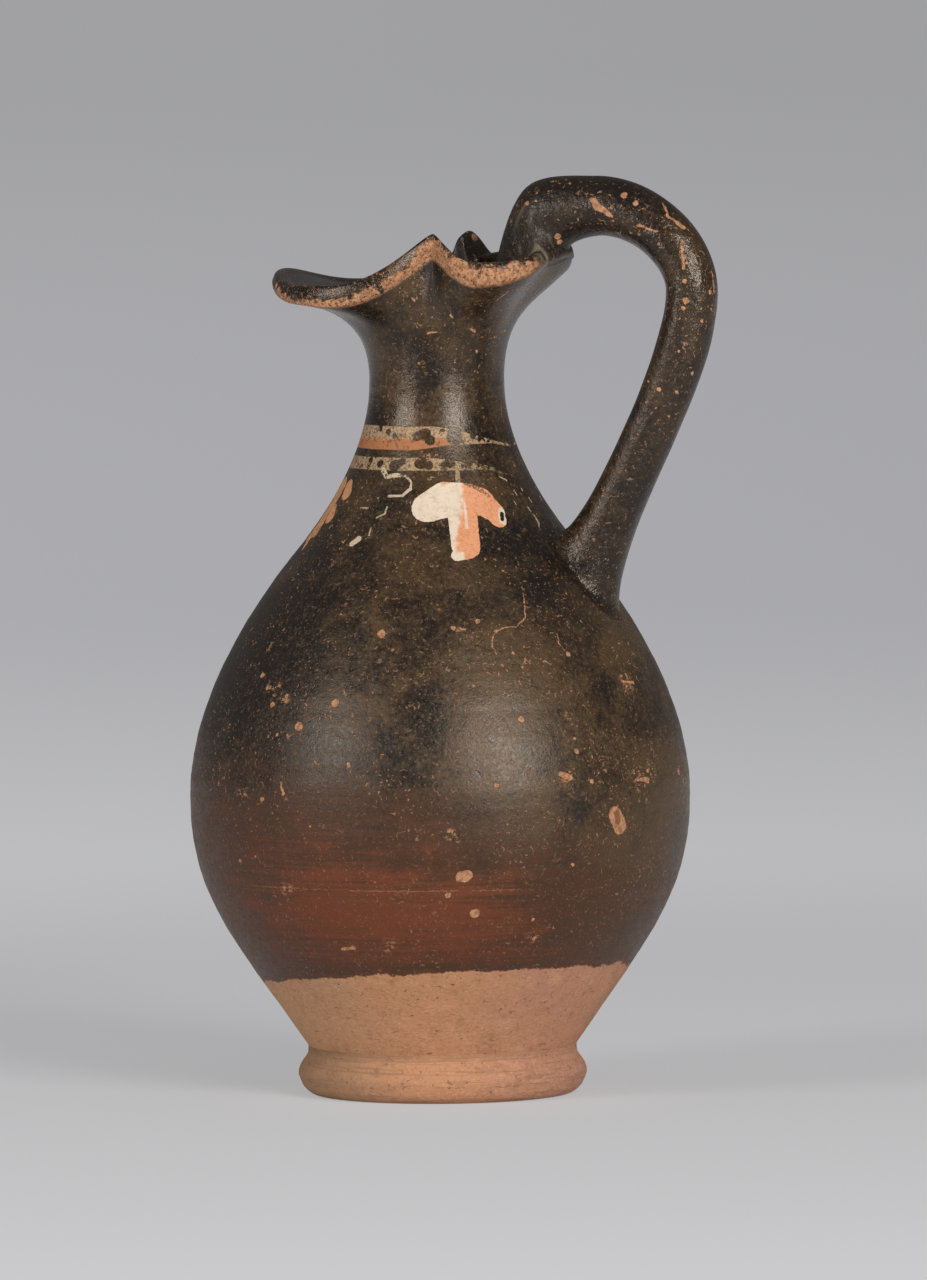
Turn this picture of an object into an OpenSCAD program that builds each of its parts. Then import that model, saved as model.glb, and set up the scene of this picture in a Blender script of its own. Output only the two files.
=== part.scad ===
// Wine jug with a three-lobed pouring mouth, a high-swung rod handle and a turned ring foot.
// It is made as a potter makes it: belly, neck with its mouth, foot and handle are shaped apart,
// and are stuck together leather-hard with clay slip and with soft clay smoothed round the handle's ends.
// The origin is the centre of the ring that it stands on. +Z is up, the spout points to -X, the handle to +X.
// All sizes are in millimetres.

/* [Foot] */
// Greatest width of the foot, at its keel
foot_d = 65.6; // [58:0.2:74]
// Height of the foot, from the table to its joint with the belly
foot_h = 10.1; // [7:0.1:14]
// Height of the keel above the table
foot_keel_h = 5.2; // [4:0.1:6]
// How softly the keel is rounded
foot_keel_round = 2.6; // [1:0.1:3]
// Outer width of the ring that rests on the table
foot_rest_d = 58; // [52:0.5:60]
// Breadth of the ring that rests on the table
foot_rest_w = 5; // [3:0.1:7]
// Width of the hollow under the foot, at its top
foot_hollow_d = 40; // [30:0.5:44]

/* [Belly] */
// Width of the belly where it stands on the foot
base_d = 59.6; // [54:0.2:64]
// Greatest width of the belly
belly_d = 113; // [98:0.5:126]
// Height of the widest point above the underside of the belly
belly_rise = 57; // [50:0.5:66]
// Height of the shoulder's turn above the widest point
shoulder_rise = 55.5; // [48:0.5:64]
// Width at the shoulder's turn, where the curve changes from round to hollow
turn_d = 63.8; // [56:0.2:72]
// Angle from upright at which the belly leaves the foot
base_lean = 35; // [28:0.5:42]
// Angle from upright of the shoulder at its turn
shoulder_lean = 39.5; // [34:0.5:44]
// Thickness of the belly's wall
belly_wall = 4.2; // [3:0.1:5.5]
// Thickness of the floor
floor_t = 5.5; // [4:0.1:8]

/* [Neck] */
// Height of the joint of neck and shoulder above the shoulder's turn
joint_rise = 15; // [10:0.5:20]
// Height of the narrowest part of the neck above the shoulder's turn
neck_rise = 37; // [32:0.5:44]
// Width of the neck at its narrowest
neck_d = 30.4; // [27:0.2:34]
// Thickness of the neck's wall
neck_wall = 3.8; // [3:0.1:4.6]

/* [Mouth] */
// Height of the pinched peaks above the narrowest part of the neck
peak_rise = 34; // [30:0.5:40]
// Distance from the jug's axis to the tip of the spout
spout_reach = 37.4; // [34:0.2:42]
// Radius of the front lobe, seen from above
front_lobe_r = 22.9; // [20:0.1:25]
// Radius of each side lobe, seen from above
side_lobe_r = 14; // [12.5:0.1:15.5]
// Distance of the side lobes' centres behind the axis
side_lobe_x = 15.5; // [14:0.1:17]
// Distance of the side lobes' centres to either side
side_lobe_y = 4.9; // [4:0.1:6]
// Distance from the axis that the pinched folds keep
pinch_r = 13.4; // [12.5:0.1:15]
// How far the front lobe's rim dips below the peaks
front_dip = 11.3; // [8:0.1:14]
// How far the tip of the spout lifts again
tip_lift = 3; // [0:0.1:5]
// How far the side lobes' rims dip below the peaks
side_dip = 6.1; // [3:0.1:8]
// How far the rim lifts again at the handle
back_lift = 3; // [0:0.1:4]
// Height of the lip's outer face
lip_h = 5; // [3.5:0.1:6.5]
// Breadth of the lip, from its outer face to the inside
lip_w = 4.2; // [3.4:0.1:5]
// Angle from upright at which the wall meets the lip at the spout
spout_flare = 82; // [74:1:86]
// Angle from upright at which the wall meets the lip at the side lobes
side_flare = 46; // [40:1:60]

/* [Handle] */
// Distance from the jug's axis to the middle of the handle at its furthest
handle_reach = 60.8; // [56:0.2:68]
// Height of the handle's middle, at its top, above the peaks of the mouth
handle_rise = 6; // [3:0.5:12]
// Distance from the jug's axis to the handle's highest point
handle_top_x = 39; // [36:0.5:44]
// Height from the handle's furthest point up to its top
handle_drop = 19; // [16:0.5:24]
// Thickness of the rod, seen from the side
rod_t = 12; // [10:0.2:15]
// Thickness of the rod where it arches over the top
rod_top_t = 13.6; // [11:0.2:16]
// Breadth of the rod, seen from behind
rod_w = 13.4; // [11:0.2:16]
// Height of the handle's lower seat above the widest point of the belly
seat_rise = 50.5; // [46:0.5:54]
// How far the soft clay at the lower seat runs down the belly
wad_down = 11; // [9:0.5:14]
// How far it runs up the shoulder
wad_up = 13.5; // [9:0.5:15]
// How far it reaches to either side
wad_side = 9.5; // [8.5:0.5:12]
// Distance from the mouth's back edge in to the middle of the handle's upper end
root_in = 5.6; // [5:0.1:6.5]

/* [Joints] */
// Thickness of the slip that sticks the pieces together
slip = 0.4; // [0.2:0.1:0.8]

/* [Hidden] */
$fn = 96;

GLOSS = [0.13, 0.10, 0.08];
CLAY = [0.74, 0.53, 0.38];
WET_CLAY = [0.62, 0.42, 0.30];

around = 72;          // points round the neck
rod_sides = 32;       // points round the handle
hair = 0.05;          // gap between a curved seat and what is pressed on it

// Heights above the table, each stacked on the one below
base_z = foot_h + slip;
belly_z = base_z + belly_rise;
turn_z = belly_z + shoulder_rise;
joint_z = turn_z + joint_rise;
throat_z = turn_z + neck_rise;
peak_z = throat_z + peak_rise;

function mix(a, b, t) = a + (b - a) * t;
function smooth(t) = let (c = max(0, min(1, t))) c * c * (3 - 2 * c);
// curves through their first and last points, drawn towards the points between
function quad_curve(p, t) = mix(mix(p[0], p[1], t), mix(p[1], p[2], t), t);
function curve(p, t) = mix(quad_curve([p[0], p[1], p[2]], t), quad_curve([p[1], p[2], p[3]], t), t);
function curve_dir(p, t) =
    let (d = quad_curve([p[1] - p[0], p[2] - p[1], p[3] - p[2]], t)) d / norm(d);
function lean(angle) = [sin(angle), cos(angle)];   // a direction that leans out from upright

// ---- outline of the wall as [radius, height], from the underside of the belly up to the throat
lower_pull = 31;      // how far the straight flare above the foot carries up the curve
belly_pull_down = 22; // how far the belly's upright middle carries down
belly_pull_up = 20;   // and up
turn_pull_down = 20;  // how far the shoulder's slope carries down the curve
turn_pull_up = 13;    // and up
throat_pull = 13.5;   // how far the throat's upright wall carries down

foot_corner = [base_d / 2, base_z];
belly_edge = [belly_d / 2, belly_z];
turn = [turn_d / 2, turn_z];
throat = [neck_d / 2, throat_z];
slope = [-lean(shoulder_lean)[0], lean(shoulder_lean)[1]];
wall_curves = [
    [foot_corner, foot_corner + lower_pull * lean(base_lean), belly_edge - [0, belly_pull_down], belly_edge],
    [belly_edge, belly_edge + [0, belly_pull_up], turn - turn_pull_down * slope, turn],
    [turn, turn + turn_pull_up * slope, throat - [0, throat_pull], throat]
];
curve_steps = 14;
wall_samples = [for (c = wall_curves) for (i = [0:curve_steps - 1]) [curve(c, i / curve_steps), curve_dir(c, i / curve_steps)]];
outer_line = concat([for (s = wall_samples) s[0]], [throat]);
outer_table = [for (p = outer_line) [p[1], p[0]]];
function outer_r(z) = lookup(z, outer_table);

function wall_at(z) = lookup(z, [[belly_z, belly_wall], [throat_z, neck_wall]]);
inner_table = concat(
    [for (s = wall_samples) let (w = wall_at(s[0][1])) [s[0][1] + w * s[1][0], s[0][0] - w * s[1][1]]],
    [[throat_z, neck_d / 2 - neck_wall]]);
function inner_r(z) = lookup(z, inner_table);

// ---- a ring-shaped outline with rounded corners: each corner is [radius, height, rounding]
round_steps = 5;
function rounded(corners) = [
    for (i = [0:len(corners) - 1])
        let (
            n = len(corners),
            c = [corners[i][0], corners[i][1]],
            before = [corners[(i + n - 1) % n][0], corners[(i + n - 1) % n][1]],
            after = [corners[(i + 1) % n][0], corners[(i + 1) % n][1]],
            back = before - c,
            on = after - c,
            cut = min(corners[i][2], norm(back) / 2, norm(on) / 2),
            a = c + cut * back / norm(back),
            b = c + cut * on / norm(on))
        for (k = [0:(cut > 0 ? round_steps : 0)]) cut > 0 ? quad_curve([a, c, b], k / round_steps) : c
];

module foot() {
    color(CLAY)
        rotate_extrude()
            polygon(rounded([
                [foot_rest_d / 2 - foot_rest_w, 0, 0.8],
                [foot_rest_d / 2, 0, 0.8],
                [mix(foot_rest_d, foot_d, 0.66) / 2, 0.24 * foot_keel_h, 1.4],
                [foot_d / 2 + foot_keel_round * 0.15, foot_keel_h, foot_keel_round],
                [base_d / 2, foot_h, 0],
                [foot_hollow_d / 2, foot_h, 0],
                [mix(foot_hollow_d / 2, foot_rest_d / 2 - foot_rest_w, 0.35), foot_h * 0.72, 1.2]
            ]));
}

// Slip in the joint of foot and belly, squeezed almost to the groove
module foot_slip() {
    color(WET_CLAY)
        translate([0, 0, foot_h])
            difference() {
                cylinder(r = base_d / 2 - slip, h = slip);
                translate([0, 0, -slip])
                    cylinder(r = foot_hollow_d / 2 + slip, h = 3 * slip);
            }
}

module belly() {
    floor_z = base_z + floor_t;
    inside = [for (p = inner_table) if (p[0] > floor_z + 1.5 && p[0] < joint_z - 0.1) [p[1], p[0]]];
    color(GLOSS)
        rotate_extrude()
            polygon(concat(
                [[0, base_z]],
                [for (p = outer_line) if (p[1] < joint_z - 0.1) p],
                [[outer_r(joint_z), joint_z], [inner_r(joint_z), joint_z]],
                [for (i = [len(inside) - 1:-1:0]) inside[i]],
                [[inside[0][0] - 3.5, floor_z], [0, floor_z]]
            ));
}

// Slip in the joint of neck and shoulder
module neck_slip() {
    color(WET_CLAY)
        rotate_extrude()
            polygon([
                [outer_r(joint_z), joint_z], [outer_r(joint_z + slip), joint_z + slip],
                [inner_r(joint_z + slip), joint_z + slip], [inner_r(joint_z), joint_z]
            ]);
}

// ---- the mouth, seen from above: three lobes and the pinched middle, blended into one outline
blend = 22;           // the higher, the sharper the crease between two lobes
function fold(a) = abs(a > 180 ? a - 360 : a);   // the angle from the handle, the same on both sides
function lobe(c, r, a) =
    let (k = c[0] * cos(a) + c[1] * sin(a), d = r * r - c * c + k * k)
    d < 0 || k + sqrt(d) < 0 ? 0 : k + sqrt(d);
function soft_max(v) = let (s = [for (x = v) pow(x, blend)]) pow(s * [for (x = v) 1], 1 / blend);
// The crease lies where the front lobe's circle crosses a side lobe's
front_lobe = [front_lobe_r - spout_reach, 0];
side_lobe = [side_lobe_x, side_lobe_y];
lobe_gap = side_lobe - front_lobe;
to_crease = (front_lobe_r * front_lobe_r - side_lobe_r * side_lobe_r + lobe_gap * lobe_gap) / (2 * norm(lobe_gap));
off_crease = sqrt(max(0, front_lobe_r * front_lobe_r - to_crease * to_crease));
crease = front_lobe + (to_crease * lobe_gap + off_crease * [-lobe_gap[1], lobe_gap[0]]) / norm(lobe_gap);
crease_a = atan2(crease[1], crease[0]);

// Inside, the wall keeps its thickness round the crease, so between the lobes there is a rounded fold
function fold_end(c, r) = let (p = c + r * (crease - c) / norm(crease - c)) atan2(p[1], p[0]);
function in_fold(a, inset) =
    fold(a) > fold_end(side_lobe, side_lobe_r - inset) && fold(a) < fold_end(front_lobe, front_lobe_r - inset);
function fold_r(a, inset) =
    let (turn_by = fold(a) - crease_a, off = norm(crease) * sin(turn_by))
    norm(crease) * cos(turn_by) - sqrt(max(0, inset * inset - off * off));
function lobes_r(a, inset) = [
    lobe(front_lobe, front_lobe_r - inset, a),
    lobe(side_lobe, side_lobe_r - inset, a),
    lobe([side_lobe_x, -side_lobe_y], side_lobe_r - inset, a)
];
function mouth_r(a, inset = 0) =
    inset == 0 ? soft_max(concat(lobes_r(a, 0), [pinch_r]))
    : in_fold(a, inset) ? fold_r(a, inset)
    : soft_max(lobes_r(a, inset));

front_fall = 58;      // degrees from the crease to where the front lobe's rim is lowest
side_fall = 24;       // and to where a side lobe's rim is lowest
tip_half = 36;        // half the angle over which the tip of the spout lifts
back_half = 40;       // half the angle over which the rim lifts at the handle
function fall(share) = pow(sin(90 * min(1, share)), 1.6);
function rim_z(a) =
    let (f = fold(a))
    f > crease_a
        ? peak_z - front_dip * fall((f - crease_a) / front_fall) + tip_lift * tip_share(a)
        : peak_z - side_dip * fall((crease_a - f) / side_fall) + back_lift * smooth(1 - f / back_half);

// How far a direction is into a lobe: 0 at the crease, 1 at the tip of the spout or the side of a side lobe
function front_share(a) = smooth((fold(a) - crease_a) / 70);
function side_share(a) = smooth((crease_a - fold(a)) / 30);
function tip_share(a) = smooth(1 - (180 - fold(a)) / tip_half);
function flare_at(a) = (spout_flare - 4.5 * tip_lift * tip_share(a)) * front_share(a) + side_flare * side_share(a);

// The lip's face is lower at the tip of the spout and at the handle
function lip_face(a) = lip_h * (1 - 0.36 * smooth(1 - (180 - fold(a)) / 60) - 0.6 * smooth(1 - fold(a) / 50));
// A wall that leaves the throat upright and meets the lip's edge at the lobe's own flare
carry_front = 0.33;   // share of the peaks' rise to which the throat's upright line carries the wall
carry_side = 0.43;
function flare_pull(a) = mix(0.43, 0.6, front_share(a));
function wall_flare(bottom, edge, a) =
    let (
        up = [0, peak_rise * mix(carry_side, carry_front, front_share(a))],
        under = edge - flare_pull(a) * norm(edge - bottom) * lean(flare_at(a)))
    [bottom, bottom + up, [max(under[0], min(edge[0], bottom[0])), under[1]], edge];
function outer_flare(a) = wall_flare(throat, [mouth_r(a), rim_z(a) - lip_face(a)], a);
function inner_flare(a) = wall_flare(throat - [neck_wall, 0], [mouth_r(a, lip_w), rim_z(a) - inner_drop], a);
// The lip's outer face, almost flat, and its rounded top
shoulder_drop = 1.1;  // how far below the crest the rounding starts outside
inner_drop = 1.2;     // and ends inside
face_swell = 0.7;     // how far the face bulges
function lip_outside(a) =
    let (low = [mouth_r(a), rim_z(a) - lip_face(a)], high = [mouth_r(a), rim_z(a) - shoulder_drop])
    [low, (low + high) / 2 + [face_swell, 0], high];
function lip_top(a) = [
    [mouth_r(a), rim_z(a) - shoulder_drop], [mouth_r(a) - 0.2, rim_z(a) + 0.35],
    [mouth_r(a) - lip_w / 2, rim_z(a) + 0.35], [mouth_r(a, lip_w), rim_z(a) - inner_drop]];

// A point of the neck's section in direction a. v runs up the outside (0 to 2, the throat at 1),
// over the lip (2 to 3) and down the inside (3 to 5, the throat at 4)
neck_base_z = joint_z + slip;
function neck_section(a, v) =
    v < 1 ? let (z = mix(neck_base_z, throat_z, v)) [outer_r(z), z]
    : v < 2 ? curve(outer_flare(a), v - 1)
    : v < 2.5 ? quad_curve(lip_outside(a), 2 * v - 4)
    : v < 3 ? curve(lip_top(a), 2 * v - 5)
    : v < 4 ? curve(inner_flare(a), 4 - v)
    : let (z = mix(throat_z, neck_base_z, min(v, 5) - 4)) [inner_r(z), z];
function turned(p, a) = [p[0] * cos(a), p[0] * sin(a), p[1]];
function neck_point(a, v) = turned(neck_section(a, v), a);

neck_rows = concat(
    [for (i = [0:3]) i / 4], [for (i = [0:10]) 1 + i / 11], [for (i = [0:2]) 2 + i / 6], [for (i = [0:4]) 2.5 + i / 10],
    [for (i = [0:9]) 3 + i / 10], [for (i = [0:3]) 4 + i / 3]);

// ---- solids from rings of points: caps close a rod, and without them the last ring joins the first
module solid_of_rings(rings, capped) {
    n = len(rings[0]);
    m = len(rings);
    spans = capped ? m - 1 : m;
    sides = [for (i = [0:spans - 1]) for (j = [0:n - 1])
        let (a = i * n + j, b = i * n + (j + 1) % n, c = ((i + 1) % m) * n + (j + 1) % n, d = ((i + 1) % m) * n + j)
        each [[a, c, b], [a, d, c]]];
    ends = capped ? [[for (j = [0:n - 1]) j], [for (j = [n - 1:-1:0]) (m - 1) * n + j]] : [];
    polyhedron(points = [for (r = rings) each r], faces = concat(sides, ends), convexity = 8);
}

module neck() {
    color(GLOSS)
        solid_of_rings([for (v = neck_rows) [for (j = [0:around - 1]) neck_point(j * 360 / around, v)]], false);
}

// ---- seats of the handle, as rings of points. t = 0 is the side that faces the finger gap,
// s is 0 in the middle of the seat and 1 at the handle's own edge, and lift is the distance off the wall
seat_z = belly_z + seat_rise;
function lower_seat(t, s, reach, lift) =
    let (
        z = seat_z + s * cos(t) * (cos(t) > 0 ? reach[0] : reach[1]),
        y = s * reach[2] * sin(t),
        r = outer_r(z) + lift)
    [sqrt(r * r - y * y), y, z];
seat_v = 2.6;
function upper_seat(t, s, reach, lift) =
    let (
        v = seat_v - s * cos(t) * (cos(t) > 0 ? reach[0] : reach[1]),
        a = s * reach[2] * sin(t),
        q = neck_section(a, v + 0.02) - neck_section(a, v - 0.02),
        out = [q[1], -q[0]] / norm(q))
    turned(neck_section(a, v) + lift * out, a);

// ---- the handle's middle line, from the belly up, over and down on the mouth's back
lower_end = [outer_r(seat_z), 0, seat_z];
upper_end = [mouth_r(0) - root_in, 0, rim_z(0) + 1.5];
furthest = [handle_reach, 0, peak_z + handle_rise - handle_drop];
top = [handle_top_x, 0, peak_z + handle_rise];
handle_curves = [
    [lower_end, lower_end + [4.8, 0, 14], furthest - [0, 0, 17.5], furthest],
    [furthest, furthest + [0, 0, 9.5], top + [11, 0, 0], top],
    [top, top - [7.6, 0, 0.3], upper_end + [-0.2, 0, 6], upper_end]
];
handle_steps = [16, 9, 11];
path_samples = [for (k = [0:2]) for (i = [(k == 0 ? 0 : 1):handle_steps[k]]) [k, i / handle_steps[k]]];
function path_at(s) = curve(handle_curves[s[0]], s[1]);
function path_dir(s) = curve_dir(handle_curves[s[0]], s[1]);

root_t = 18.4;        // thickness of the handle where it meets the mouth
root_w = 15.5;        // and its breadth
function rod_size(s) =
    s[0] == 0 ? [rod_t, rod_w]
    : s[0] == 1 ? [mix(rod_t, rod_top_t, smooth(s[1])), rod_w]
    : [mix(rod_top_t, root_t, smooth(1.15 * s[1])), mix(rod_w, root_w, smooth(s[1]))];
function rod_point(s, t, grow = 0) =
    let (
        d = path_dir(s),
        to_gap = [-d[2], 0, d[0]],
        size = rod_size(s) / 2)
    path_at(s) + (size[0] + grow) * cos(t) * to_gap + [0, (size[1] + grow) * sin(t), 0];

// Each end of the rod changes over a few rings into the edge of its seat
lower_foot = [7, 6.5, 6.6];      // reach of the handle's own end on the belly: up, down, to either side
upper_foot = [0.5, 1, 15];       // and on the mouth: outside and inside along the section, half angle
morph_rings = 6;
upper_morph = 4;
last_ring = len(path_samples) - 1;
function ring_t(j) = j * 360 / rod_sides;
function handle_point(i, t, grow = 0) =
    let (rod = rod_point(path_samples[i], t, grow))
    i < morph_rings ? mix(lower_seat(t, 1 + grow / lower_foot[2], lower_foot, slip), rod, smooth(i / morph_rings))
    : last_ring - i < upper_morph
        ? mix(upper_seat(t, 1 + grow / 8, upper_foot, slip), rod, smooth((last_ring - i) / upper_morph))
        : rod;
function ring_of(i, grow = 0) = [for (j = [0:rod_sides - 1]) handle_point(i, ring_t(j), grow)];
function lower_ring(s, reach, lift) = [for (j = [0:rod_sides - 1]) lower_seat(ring_t(j), s, reach, lift)];
function upper_ring(s, reach, lift) = [for (j = [0:rod_sides - 1]) upper_seat(ring_t(j), s, reach, lift)];
function rev(list) = [for (i = [len(list) - 1:-1:0]) list[i]];

inner_shares = [0.12, 0.4, 0.7];
rim_shares = [for (i = [1:8]) i / 9];    // finer, because the lip curves tightly
module handle() {
    color(GLOSS)
        solid_of_rings(rev(concat(
            [for (s = inner_shares) lower_ring(s, lower_foot, slip)],
            [for (i = [0:last_ring]) ring_of(i)],
            [for (s = rev(rim_shares)) upper_ring(s, upper_foot, slip)]
        )), true);
}

// Slip between each end of the handle and its seat
module lower_handle_slip() {
    color(WET_CLAY)
        solid_of_rings(rev(concat(
            [for (s = concat(inner_shares, [1])) lower_ring(s, lower_foot, hair)],
            [for (s = rev(concat(inner_shares, [1]))) lower_ring(s, lower_foot, slip - 0.02)]
        )), true);
}

module upper_handle_slip() {
    color(WET_CLAY)
        solid_of_rings(rev(concat(
            [for (s = concat(rim_shares, [1])) upper_ring(s, upper_foot, slip - 0.02)],
            [for (s = rev(concat(rim_shares, [1]))) upper_ring(s, upper_foot, rim_hair)]
        )), true);
}

// ---- soft clay smoothed round each end of the handle: hollow fillets from the rod down to the wall
rim_hair = 0.1;       // the same gap on the mouth's tighter curves
feather = 0.35;       // thickness at which the clay runs out
lower_wad_ring = 4;   // the ring of the handle at which the lower fillet starts
upper_wad_ring = 3;   // and the upper one, counted from the handle's other end
lower_wad_foot = [wad_up, wad_down, wad_side];
upper_wad_foot = [0.7, 1.2, 22];
lower_swell = 2.4;    // thickness of the clay in the corner of handle and belly
upper_swell = 1.3;    // and in the corner of handle and lip
seat_shares = [0.35, 0.7];
foot_shares = [0.48, 0.66, 0.83, 1];
function between(a, b, share) = [for (k = [0:2]) mix(a[k], b[k], share)];

module lower_handle_wad() {
    color(GLOSS)
        solid_of_rings(concat(
            [for (i = [lower_wad_ring:-1:2]) ring_of(i, feather + lower_swell * pow(1 - i / lower_wad_ring, 2))],
            [for (s = foot_shares) lower_ring(1, between(lower_foot, lower_wad_foot, s),
                hair + feather + lower_swell * pow(1 - s, 2))],
            [for (s = [1, seat_shares[1], seat_shares[0]]) lower_ring(1, between(lower_foot, lower_wad_foot, s), hair)],
            [lower_ring(1 + hair / lower_foot[2], lower_foot, hair)],
            [for (i = [0:lower_wad_ring]) ring_of(i, hair)]
        ), false);
}

module upper_handle_wad() {
    color(GLOSS)
        solid_of_rings(rev(concat(
            [for (i = [upper_wad_ring:-1:2]) ring_of(last_ring - i, feather + upper_swell * pow(1 - i / upper_wad_ring, 2))],
            [for (s = foot_shares) upper_ring(1, between(upper_foot, upper_wad_foot, s),
                rim_hair + feather + upper_swell * pow(1 - s, 2))],
            [for (s = [1, seat_shares[1], seat_shares[0]]) upper_ring(1, between(upper_foot, upper_wad_foot, s), rim_hair)],
            [upper_ring(1 + hair / 8, upper_foot, rim_hair)],
            [for (i = [0:upper_wad_ring]) ring_of(last_ring - i, hair)]
        )), false);
}

foot();
belly();
neck();
handle();
lower_handle_wad();
upper_handle_wad();
foot_slip();
neck_slip();
lower_handle_slip();
upper_handle_slip();
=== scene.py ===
"""Pouring jug with a three-lobed mouth: thrown belly, neck and foot, pulled handle, black slip, painted garland.

Lengths in the shape code are millimetres, as in the CAD; meshes, camera and lamps are in metres. Angles on the jug
are degrees round its axis: 0 is the handle, 180 the spout, and the camera stands near -70.
"""

import math
from functools import partial

import bpy
import numpy as np
from mathutils import Matrix, Vector


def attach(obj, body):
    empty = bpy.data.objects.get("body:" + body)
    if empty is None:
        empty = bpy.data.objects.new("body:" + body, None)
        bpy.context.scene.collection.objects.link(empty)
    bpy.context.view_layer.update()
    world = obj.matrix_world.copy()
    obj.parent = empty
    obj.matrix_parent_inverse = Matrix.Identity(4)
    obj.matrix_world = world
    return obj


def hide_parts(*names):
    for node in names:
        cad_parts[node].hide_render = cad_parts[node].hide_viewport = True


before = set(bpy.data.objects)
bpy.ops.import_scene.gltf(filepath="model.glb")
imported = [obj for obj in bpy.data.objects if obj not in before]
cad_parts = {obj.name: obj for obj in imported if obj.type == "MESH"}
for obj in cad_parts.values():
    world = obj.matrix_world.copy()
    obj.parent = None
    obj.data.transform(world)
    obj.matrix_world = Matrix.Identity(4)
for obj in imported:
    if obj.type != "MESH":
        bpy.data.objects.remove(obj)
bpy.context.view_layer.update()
MM = 0.001

# ------------------------------------------------ the shape, as in the CAD
# Heights and radii of the wall: base, widest belly, turn of the shoulder, joint of belly and neck, throat
BASE_Z, BELLY_Z, TURN_Z, JOINT_Z, THROAT_Z = 10.5, 67.5, 123.0, 138.4, 160.0
BELLY_R, BASE_R, TURN_R, THROAT_R = 56.5, 29.8, 31.9, 15.2
BELLY_WALL, NECK_WALL, FLOOR_Z = 4.2, 3.8, 16.0
BASE_LEAN, TURN_LEAN = 35, 39.5
# The mouth's plan is three circles round a pinched middle
FRONT_LOBE, FRONT_R = np.array([-14.5, 0.0]), 22.9
SIDE_LOBE, SIDE_R = np.array([15.5, 4.9]), 14.0
PINCH_R, LOBE_BLEND = 13.4, 22
# The rim peaks at the creases, dips beside them over a span of degrees, and lifts again at the tip and the handle
PEAK_Z, FRONT_DIP, FRONT_SPAN, TIP_LIFT, TIP_HALF = 194.0, 11.3, 58, 3, 36
SIDE_DIP, SIDE_SPAN, BACK_LIFT, BACK_HALF, DIP_POWER = 6.1, 24, 3, 40, 1.6
# The lip's face is lower at the tip and at the handle
LIP_H, LIP_W, TIP_THINNING, BACK_THINNING = 5.0, 4.2, 0.36, 0.6
# How far the mouth leans out, and how strongly throat and lip pull on the curve between them
FRONT_FLARE, TIP_FLARE_LOSS, SIDE_FLARE, THROAT_PULL = 82, 13.5, 46, 34
SIDE_LIP_PULL, FRONT_LIP_PULL, SIDE_UP_PULL, FRONT_UP_PULL = 0.43, 0.6, 0.43, 0.33


def mix(a, b, t):
    return a + (b - a) * t


def smooth(t):
    t = np.clip(t, 0, 1)
    return t * t * (3 - 2 * t)


def unit(v):
    return v / np.linalg.norm(v, axis=-1, keepdims=True)


def lean(angle):
    a = np.radians(angle)
    return np.stack([np.sin(a), np.cos(a)], -1)


def bezier(points, t):
    """A cubic curve at t; the points may be rows of points, one curve for each."""
    t = np.asarray(t, float)[..., None]
    a, b, c, d = points
    return (1 - t) ** 3 * a + 3 * t * (1 - t) ** 2 * b + 3 * t * t * (1 - t) * c + t**3 * d


def arc(a, b, c, t):
    """A curve from a to c that b pulls on."""
    return (1 - t) ** 2 * a + 2 * t * (1 - t) * b + t * t * c


foot_corner, belly_edge = np.array([BASE_R, BASE_Z]), np.array([BELLY_R, BELLY_Z])
turn, throat = np.array([TURN_R, TURN_Z]), np.array([THROAT_R, THROAT_Z])
slope = lean(TURN_LEAN) * [-1, 1]
WALL = [
    [foot_corner, foot_corner + 31 * lean(BASE_LEAN), belly_edge - [0, 22], belly_edge],
    [belly_edge, belly_edge + [0, 20], turn - 20 * slope, turn],
    [turn, turn + 13 * slope, throat - [0, 13.5], throat],
]
outer_line = np.concatenate([bezier(c, np.linspace(0, 1, 200)) for c in WALL])
wall_run = np.gradient(outer_line, axis=0)
wall_run /= np.linalg.norm(wall_run, axis=1)[:, None] + 1e-12
thickness = np.interp(outer_line[:, 1], [BELLY_Z, THROAT_Z], [BELLY_WALL, NECK_WALL])[:, None]
inner_line = outer_line + thickness * np.stack([-wall_run[:, 1], wall_run[:, 0]], 1)
inner_line = inner_line[np.argsort(inner_line[:, 1])]


def outer_r(z):
    return np.interp(z, outer_line[:, 1], outer_line[:, 0])


def inner_r(z):
    return np.interp(z, inner_line[:, 1], inner_line[:, 0])


# The mouth seen from above
def fold(a):
    """Degrees away from the handle's side, the same on both sides of the jug."""
    return np.abs((np.asarray(a, float) + 180) % 360 - 180)


def to_lobe(centre, radius, a):
    """How far a circle of the plan reaches in a direction from the axis."""
    a = np.radians(a)
    k = centre[0] * np.cos(a) + centre[1] * np.sin(a)
    d = radius**2 - centre @ centre + k * k
    reach = k + np.sqrt(np.maximum(d, 0))
    return np.where((d < 0) | (reach < 0), 0, reach)


def soft_max(lengths):
    return sum(x**LOBE_BLEND for x in lengths) ** (1 / LOBE_BLEND)


def degrees_of(p):
    return math.degrees(math.atan2(p[1], p[0]))


gap = SIDE_LOBE - FRONT_LOBE
to_crease = (FRONT_R**2 - SIDE_R**2 + gap @ gap) / (2 * np.linalg.norm(gap))
off_crease = math.sqrt(FRONT_R**2 - to_crease**2)
crease = FRONT_LOBE + (to_crease * gap + off_crease * np.array([-gap[1], gap[0]])) / np.linalg.norm(gap)
CREASE_A = degrees_of(crease)


def fold_end(centre, radius):
    return degrees_of(centre + radius * unit(crease - centre))


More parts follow.
